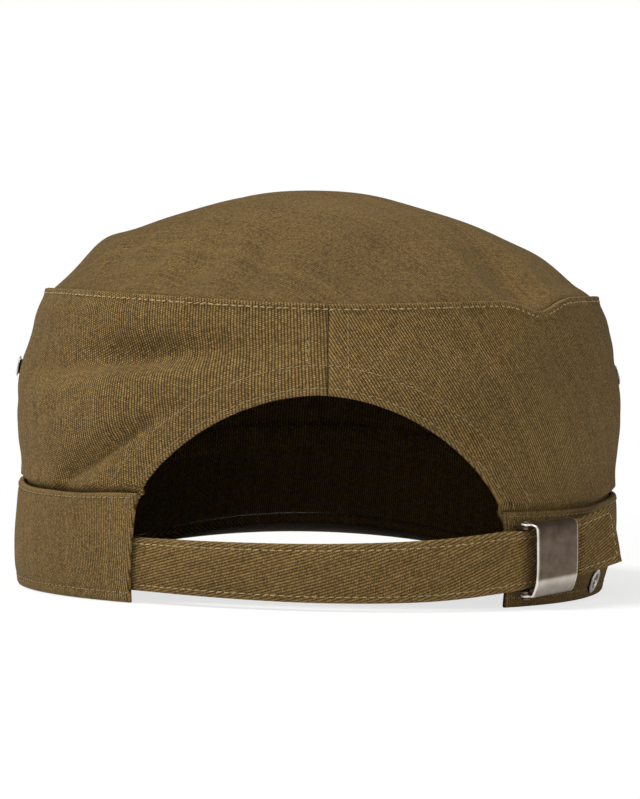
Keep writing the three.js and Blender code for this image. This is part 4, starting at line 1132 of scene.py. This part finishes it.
# %% Stitch rows on the crown
PROUD = 0.05  # how far a row's line lies above the cloth, mm


def on_crown(turn, height):
    """A row on the crown's cloth: places on its outer face and the outward directions."""
    turn, height = np.broadcast_arrays(np.asarray(turn, float), np.asarray(height, float))
    _, out, _, _ = wall_frame(turn, height)
    at = crown_point(turn, height)
    return at + out * (crown_relief(turn, height) + PROUD)[..., None], out


def turn_at(x, z):
    """The turn at the back of the wall where it is this far aside, by Newton's steps."""
    turn = np.degrees(np.arcsin(np.clip(x / CROWN_HALF_WIDTH, -0.95, 0.95)))
    for _ in range(8):
        here = wall_point(turn, z)[..., 0]
        slope = (wall_point(turn + 0.2, z)[..., 0] - here) / 0.2
        turn = turn + (x - here) / slope
    return turn


def arch_row(distance):
    """A row round the rear opening, as far as the band covers."""
    angle = np.radians(np.linspace(8, 172, 300))
    power = 2 / OPEN_FULLNESS
    c, s = np.cos(angle), np.sin(angle)
    x = OPEN_MIDDLE + (OPEN_HALF_WIDTH + distance) * np.sign(c) * np.abs(c) ** power
    z = OPEN_CENTRE + (OPEN_TOP - OPEN_CENTRE + distance) * s**power
    turn = turn_at(x, z)
    seen = z > band_top(turn) + 0.6
    return on_crown(turn[seen], z[seen])


round_turns = turn_at_length(np.linspace(0, ring_length[-1], 1200))
stitch("stitches_top_seam", [on_crown(round_turns, seam_height(round_turns) - SEAM_ROW)],
       radius=0.2, pitch=2.25, loose=2.5)
stitch("stitches_arch", [arch_row(distance) for distance in ARCH_ROWS], "fine_thread", **FINE_ROW)
rows = []
for seam in SEAMS:
    for side in (-1, 1):
        turn = turn_at_length(length_at(seam) + side * BACK_ROW)
        foot = band_top(turn) + 0.8 if seam else opening_edge(wall_point(turn, 60.0)[0]) + 0.8
        rise = np.linspace(foot, seam_height(turn) - 2.6, 90)
        rows.append(on_crown(turn, rise))
stitch("stitches_panel_seams", rows, "fine_thread", **FINE_ROW)

# %% Stitch rows on the band, the peak and the strap
def on_band(run, height):
    """A row on the band: places on its outer face and the outward directions."""
    run, height = np.broadcast_arrays(np.asarray(run, float), np.asarray(height, float))
    turn = turn_at_length(run)
    at, out, _, _ = wall_frame(turn, height)
    return at + out * (band_relief(run, height, turn) + PROUD)[..., None], out


round_band = np.linspace(start + 1.2, finish - 1.2, 900)
turns = turn_at_length(round_band)
rows = [on_band(round_band, band_top(turns) - BAND_TOP_ROW),
        on_band(round_band, band_lower_edge(turns) + BAND_LOW_ROW)]
rise = np.linspace(2.0, BAND_HEIGHT - 2.4, 60)
for distance in BAND_END_ROWS:
    rows.append(on_band(left_end(rise) + distance, rise))
    rows.append(on_band(right_end(rise) - distance, rise))
stitch("stitches_band", rows, "fine_thread", radius=0.13, skip=(eyelet_place, BAND_FLANGE + 0.7))


def grid_row(grid, normals, lift):
    """A row along a line of grid points, moved out along the normals."""
    return grid + normals * lift[..., None], normals


share = np.linspace(-0.97, 0.97, 500)
rows = []
for distance in PEAK_ROWS:
    fine = peak_point(*np.meshgrid(share, np.linspace(0, 1, 200), indexing="ij"))
    left_over = from_ends(fine, 1)[1]
    column = np.argmin(np.abs(left_over - distance), 1)
    keep = left_over[:, 0] > distance + 1.5
    at = fine[np.arange(len(share)), column][keep]
    rows.append((at + [0, 0, -0.1], np.broadcast_to([0.0, 0.0, 1.0], at.shape)))
stitch("stitches_peak", rows)

strap_normals = grid_normals(strap_grid)
rows = []
for side in (-1, 1):
    column = np.argmin(np.abs(t[0] - side * (STRAP_WIDTH / 2 - STRAP_ROW)))
    use = (s[:, 0] > 10) & (s[:, 0] < strap_length - 2)
    lift = strap_relief[use, column] + PROUD
    rows.append(grid_row(strap_grid[use, column], strap_normals[use, column], lift))
line = np.argmin(np.abs(s[:, 0] - (strap_length - 2.0)))
use = np.abs(t[0]) < STRAP_WIDTH / 2 - STRAP_ROW
lift = strap_relief[line, use] + PROUD
rows.append(grid_row(strap_grid[line, use], strap_normals[line, use], lift))
stitch("stitches_strap", rows, pitch=2.3)

# %% [markdown]
# ## The clasp
# The lever is one bent sheet of steel: a cover that arches over the strap, with a cheek at each end
# that turns on a rivet. It is a slab as the cloth is, so its edges are round and worn bright, and
# the lower part of its cover is painted bright and less metallic as a painted reflection of the pale
# floor. The base and the rivets keep the shape of their solids and get the same steel.

# %% Clasp lever
EAR_INNER = STRAP_WIDTH / 2 + CLASP_GAP
LEVER_OUTER = EAR_INNER + 2 * CLASP_SHEET + SEWN_GAP
RIVET_ALONG, RIVET_OUT, COVER_PAST = CLASP_LENGTH / 2 - 0.75, 0.6, 0.2
EAR_RADIUS, COVER_ARCH, CHEEK_LENGTH, LOWER_PAINTED_REFLECTION = 1.4, 2.4, 3.2, 0.55
COVER_OUT = RIVET_OUT + EAR_RADIUS + SEWN_GAP
# columns: place up the strap as a share of half the height, and how far it stands out
COVER = np.array([[-1, 0], [-0.94, 0.25], [-0.62, 0.82], [-0.2, 1], [0.4, 1], [0.84, 0.93],
                  [0.97, 0.6], [1, 0]])


def resampled(line, count, smooth):
    """A line of points at even steps, after a moving average that rounds its corners."""
    fine = np.concatenate([[0], np.cumsum(np.linalg.norm(np.diff(line, axis=0), axis=1))])
    at = np.linspace(0, fine[-1], 600)
    dense = np.stack([np.interp(at, fine, line[:, k]) for k in range(line.shape[1])], -1)
    width = int(smooth / fine[-1] * 600) | 1
    padded = np.pad(dense, ((width // 2, width // 2), (0, 0)), mode="reflect", reflect_type="odd")
    kernel = np.ones(width) / width
    soft = np.stack([np.convolve(padded[:, k], kernel, "valid") for k in range(line.shape[1])], -1)
    return soft[np.linspace(0, 599, count).astype(int)]


tail_edge, rivet_edge = -CLASP_LENGTH / 2, RIVET_ALONG + COVER_PAST
share = np.linspace(-1, 1, 81)
cover = np.stack([share * LEVER_OUTER,
                  COVER_OUT + CLASP_SHEET + COVER_ARCH * along_table(COVER, 1, share)], -1)
lengths = edge_steps(rivet_edge - tail_edge, CLASP_SHEET / 2, 44)
xs = rivet_edge - lengths
lows = np.interp(xs, [tail_edge, RIVET_ALONG - CHEEK_LENGTH, RIVET_ALONG - 0.7, RIVET_ALONG],
                 [COVER_OUT - 0.1, RIVET_OUT, RIVET_OUT - 1.21, RIVET_OUT - EAR_RADIUS])
columns = []
for x, low in zip(xs, lows):
    ends = [[LEVER_OUTER, low], [LEVER_OUTER, max(low, COVER_OUT - 0.2)]]
    path = np.concatenate([[[-u, o] for u, o in ends], cover, ends[::-1]])
    columns.append(resampled(path, 110, 0.4))
section = np.array(columns)
nose = np.clip(EAR_RADIUS**2 - (section[..., 1] - RIVET_OUT) ** 2, COVER_PAST**2, None)
nose = np.sqrt(nose) - COVER_PAST
fraction = (xs - tail_edge)[:, None] / (rivet_edge - tail_edge)
lever_x = xs[:, None] + nose * fraction**8
lever_grid = in_clasp(np.stack([lever_x, section[..., 1], section[..., 0]], -1))
lever = slab("clasp_cover", lever_grid, CLASP_SHEET, np.zeros(2), wear=0.35)
wear = np.zeros(len(lever.data.vertices))
lever.data.attributes["wear"].data.foreach_get("value", wear)
# painted reflection: the lower part of the cover is made brighter and less metallic through the wear
# attribute, in place of the pale floor it reflects
lower_reflection_share = 1 - ease(section[..., 0] / LEVER_OUTER, -0.58, -0.46)
wear[: section[..., 0].size] += LOWER_PAINTED_REFLECTION * lower_reflection_share.ravel()
lever.data.attributes["wear"].data.foreach_set("value", wear)
dress(lever, "clasp_steel", "lever")
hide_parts("clasp_lever")
print("clasp_cover", len(lever.data.polygons), "faces")

# %% Eyelets
def softened(loop, rounds):
    """A closed loop with each corner cut at a quarter of its sides, several times over."""
    for _ in range(rounds):
        after = np.roll(loop, -1, 0)
        loop = np.stack([0.75 * loop + 0.25 * after, 0.25 * loop + 0.75 * after], 1).reshape(-1, 2)
    return loop


def eyelet(name, node, turn, height, hole, flange, cloth):
    """A ring that is turned about the wall's outward direction: a rounded flange on each face and
    a barrel between them."""
    _, out, up, side = wall_frame(np.array(turn), np.array(height))
    centre = wall_depth(np.array(turn), height, wall_inset(turn, height) if cloth < 2 else 0.0)
    barrel, crest, back = hole + EYELET_BARREL, (hole + flange) / 2, -cloth - BACK_GAP
    face = FACE_GAP
    loop = softened(np.array([
        [hole, face + EYELET_SHEET * 0.5], [crest, face + EYELET_SHEET],
        [flange, face + EYELET_SHEET / 3], [flange, face], [barrel, face - 0.1],
        [barrel, back + 0.1], [flange, back], [flange, back - EYELET_SHEET / 3],
        [crest, back - EYELET_SHEET], [hole, back - EYELET_SHEET / 2]]), 3)
    angle = np.radians(np.arange(0, 360, 5))
    spin = np.cos(angle)[:, None] * side + np.sin(angle)[:, None] * up
    points = centre + spin[:, None] * loop[None, :, :1] + out * loop[None, :, 1:]
    count, size = points.shape[:2]
    index = np.arange(count * size).reshape(count, size)
    index = np.concatenate([index, index[:1]])
    index = np.concatenate([index, index[:, :1]], 1)
    faces = np.stack([index[:-1, :-1], index[1:, :-1], index[1:, 1:], index[:-1, 1:]], -1)
    worn = hump(loop[:, 1] - face - EYELET_SHEET, 0.35)
    ring = make_mesh(name, points.reshape(-1, 3), faces.reshape(-1, 4).tolist(),
                     wear=np.tile(worn, count))
    dress(ring, "eyelet_steel")
    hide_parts(node)
    return ring


VENT = (VENT_HEIGHT, VENT_HOLE, VENT_FLANGE, CROWN_CLOTH)
eyelet("eyelet_band", "band_eyelet", BAND_EYELET_TURN, BAND_EYELET_HEIGHT, BAND_HOLE, BAND_FLANGE,
       BAND_CLOTH)
eyelet("eyelet_left", "vent_eyelet_left", VENT_TURN, *VENT)
eyelet("eyelet_right", "vent_eyelet_right", -VENT_TURN, *VENT)
for piece in ("clasp_base", "clasp_rivet_upper", "clasp_rivet_lower"):
    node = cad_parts[piece]
    node.data.materials.clear()
    node.data.materials.append(paints["clasp_steel"])
print("eyelets made, base and rivets in steel")
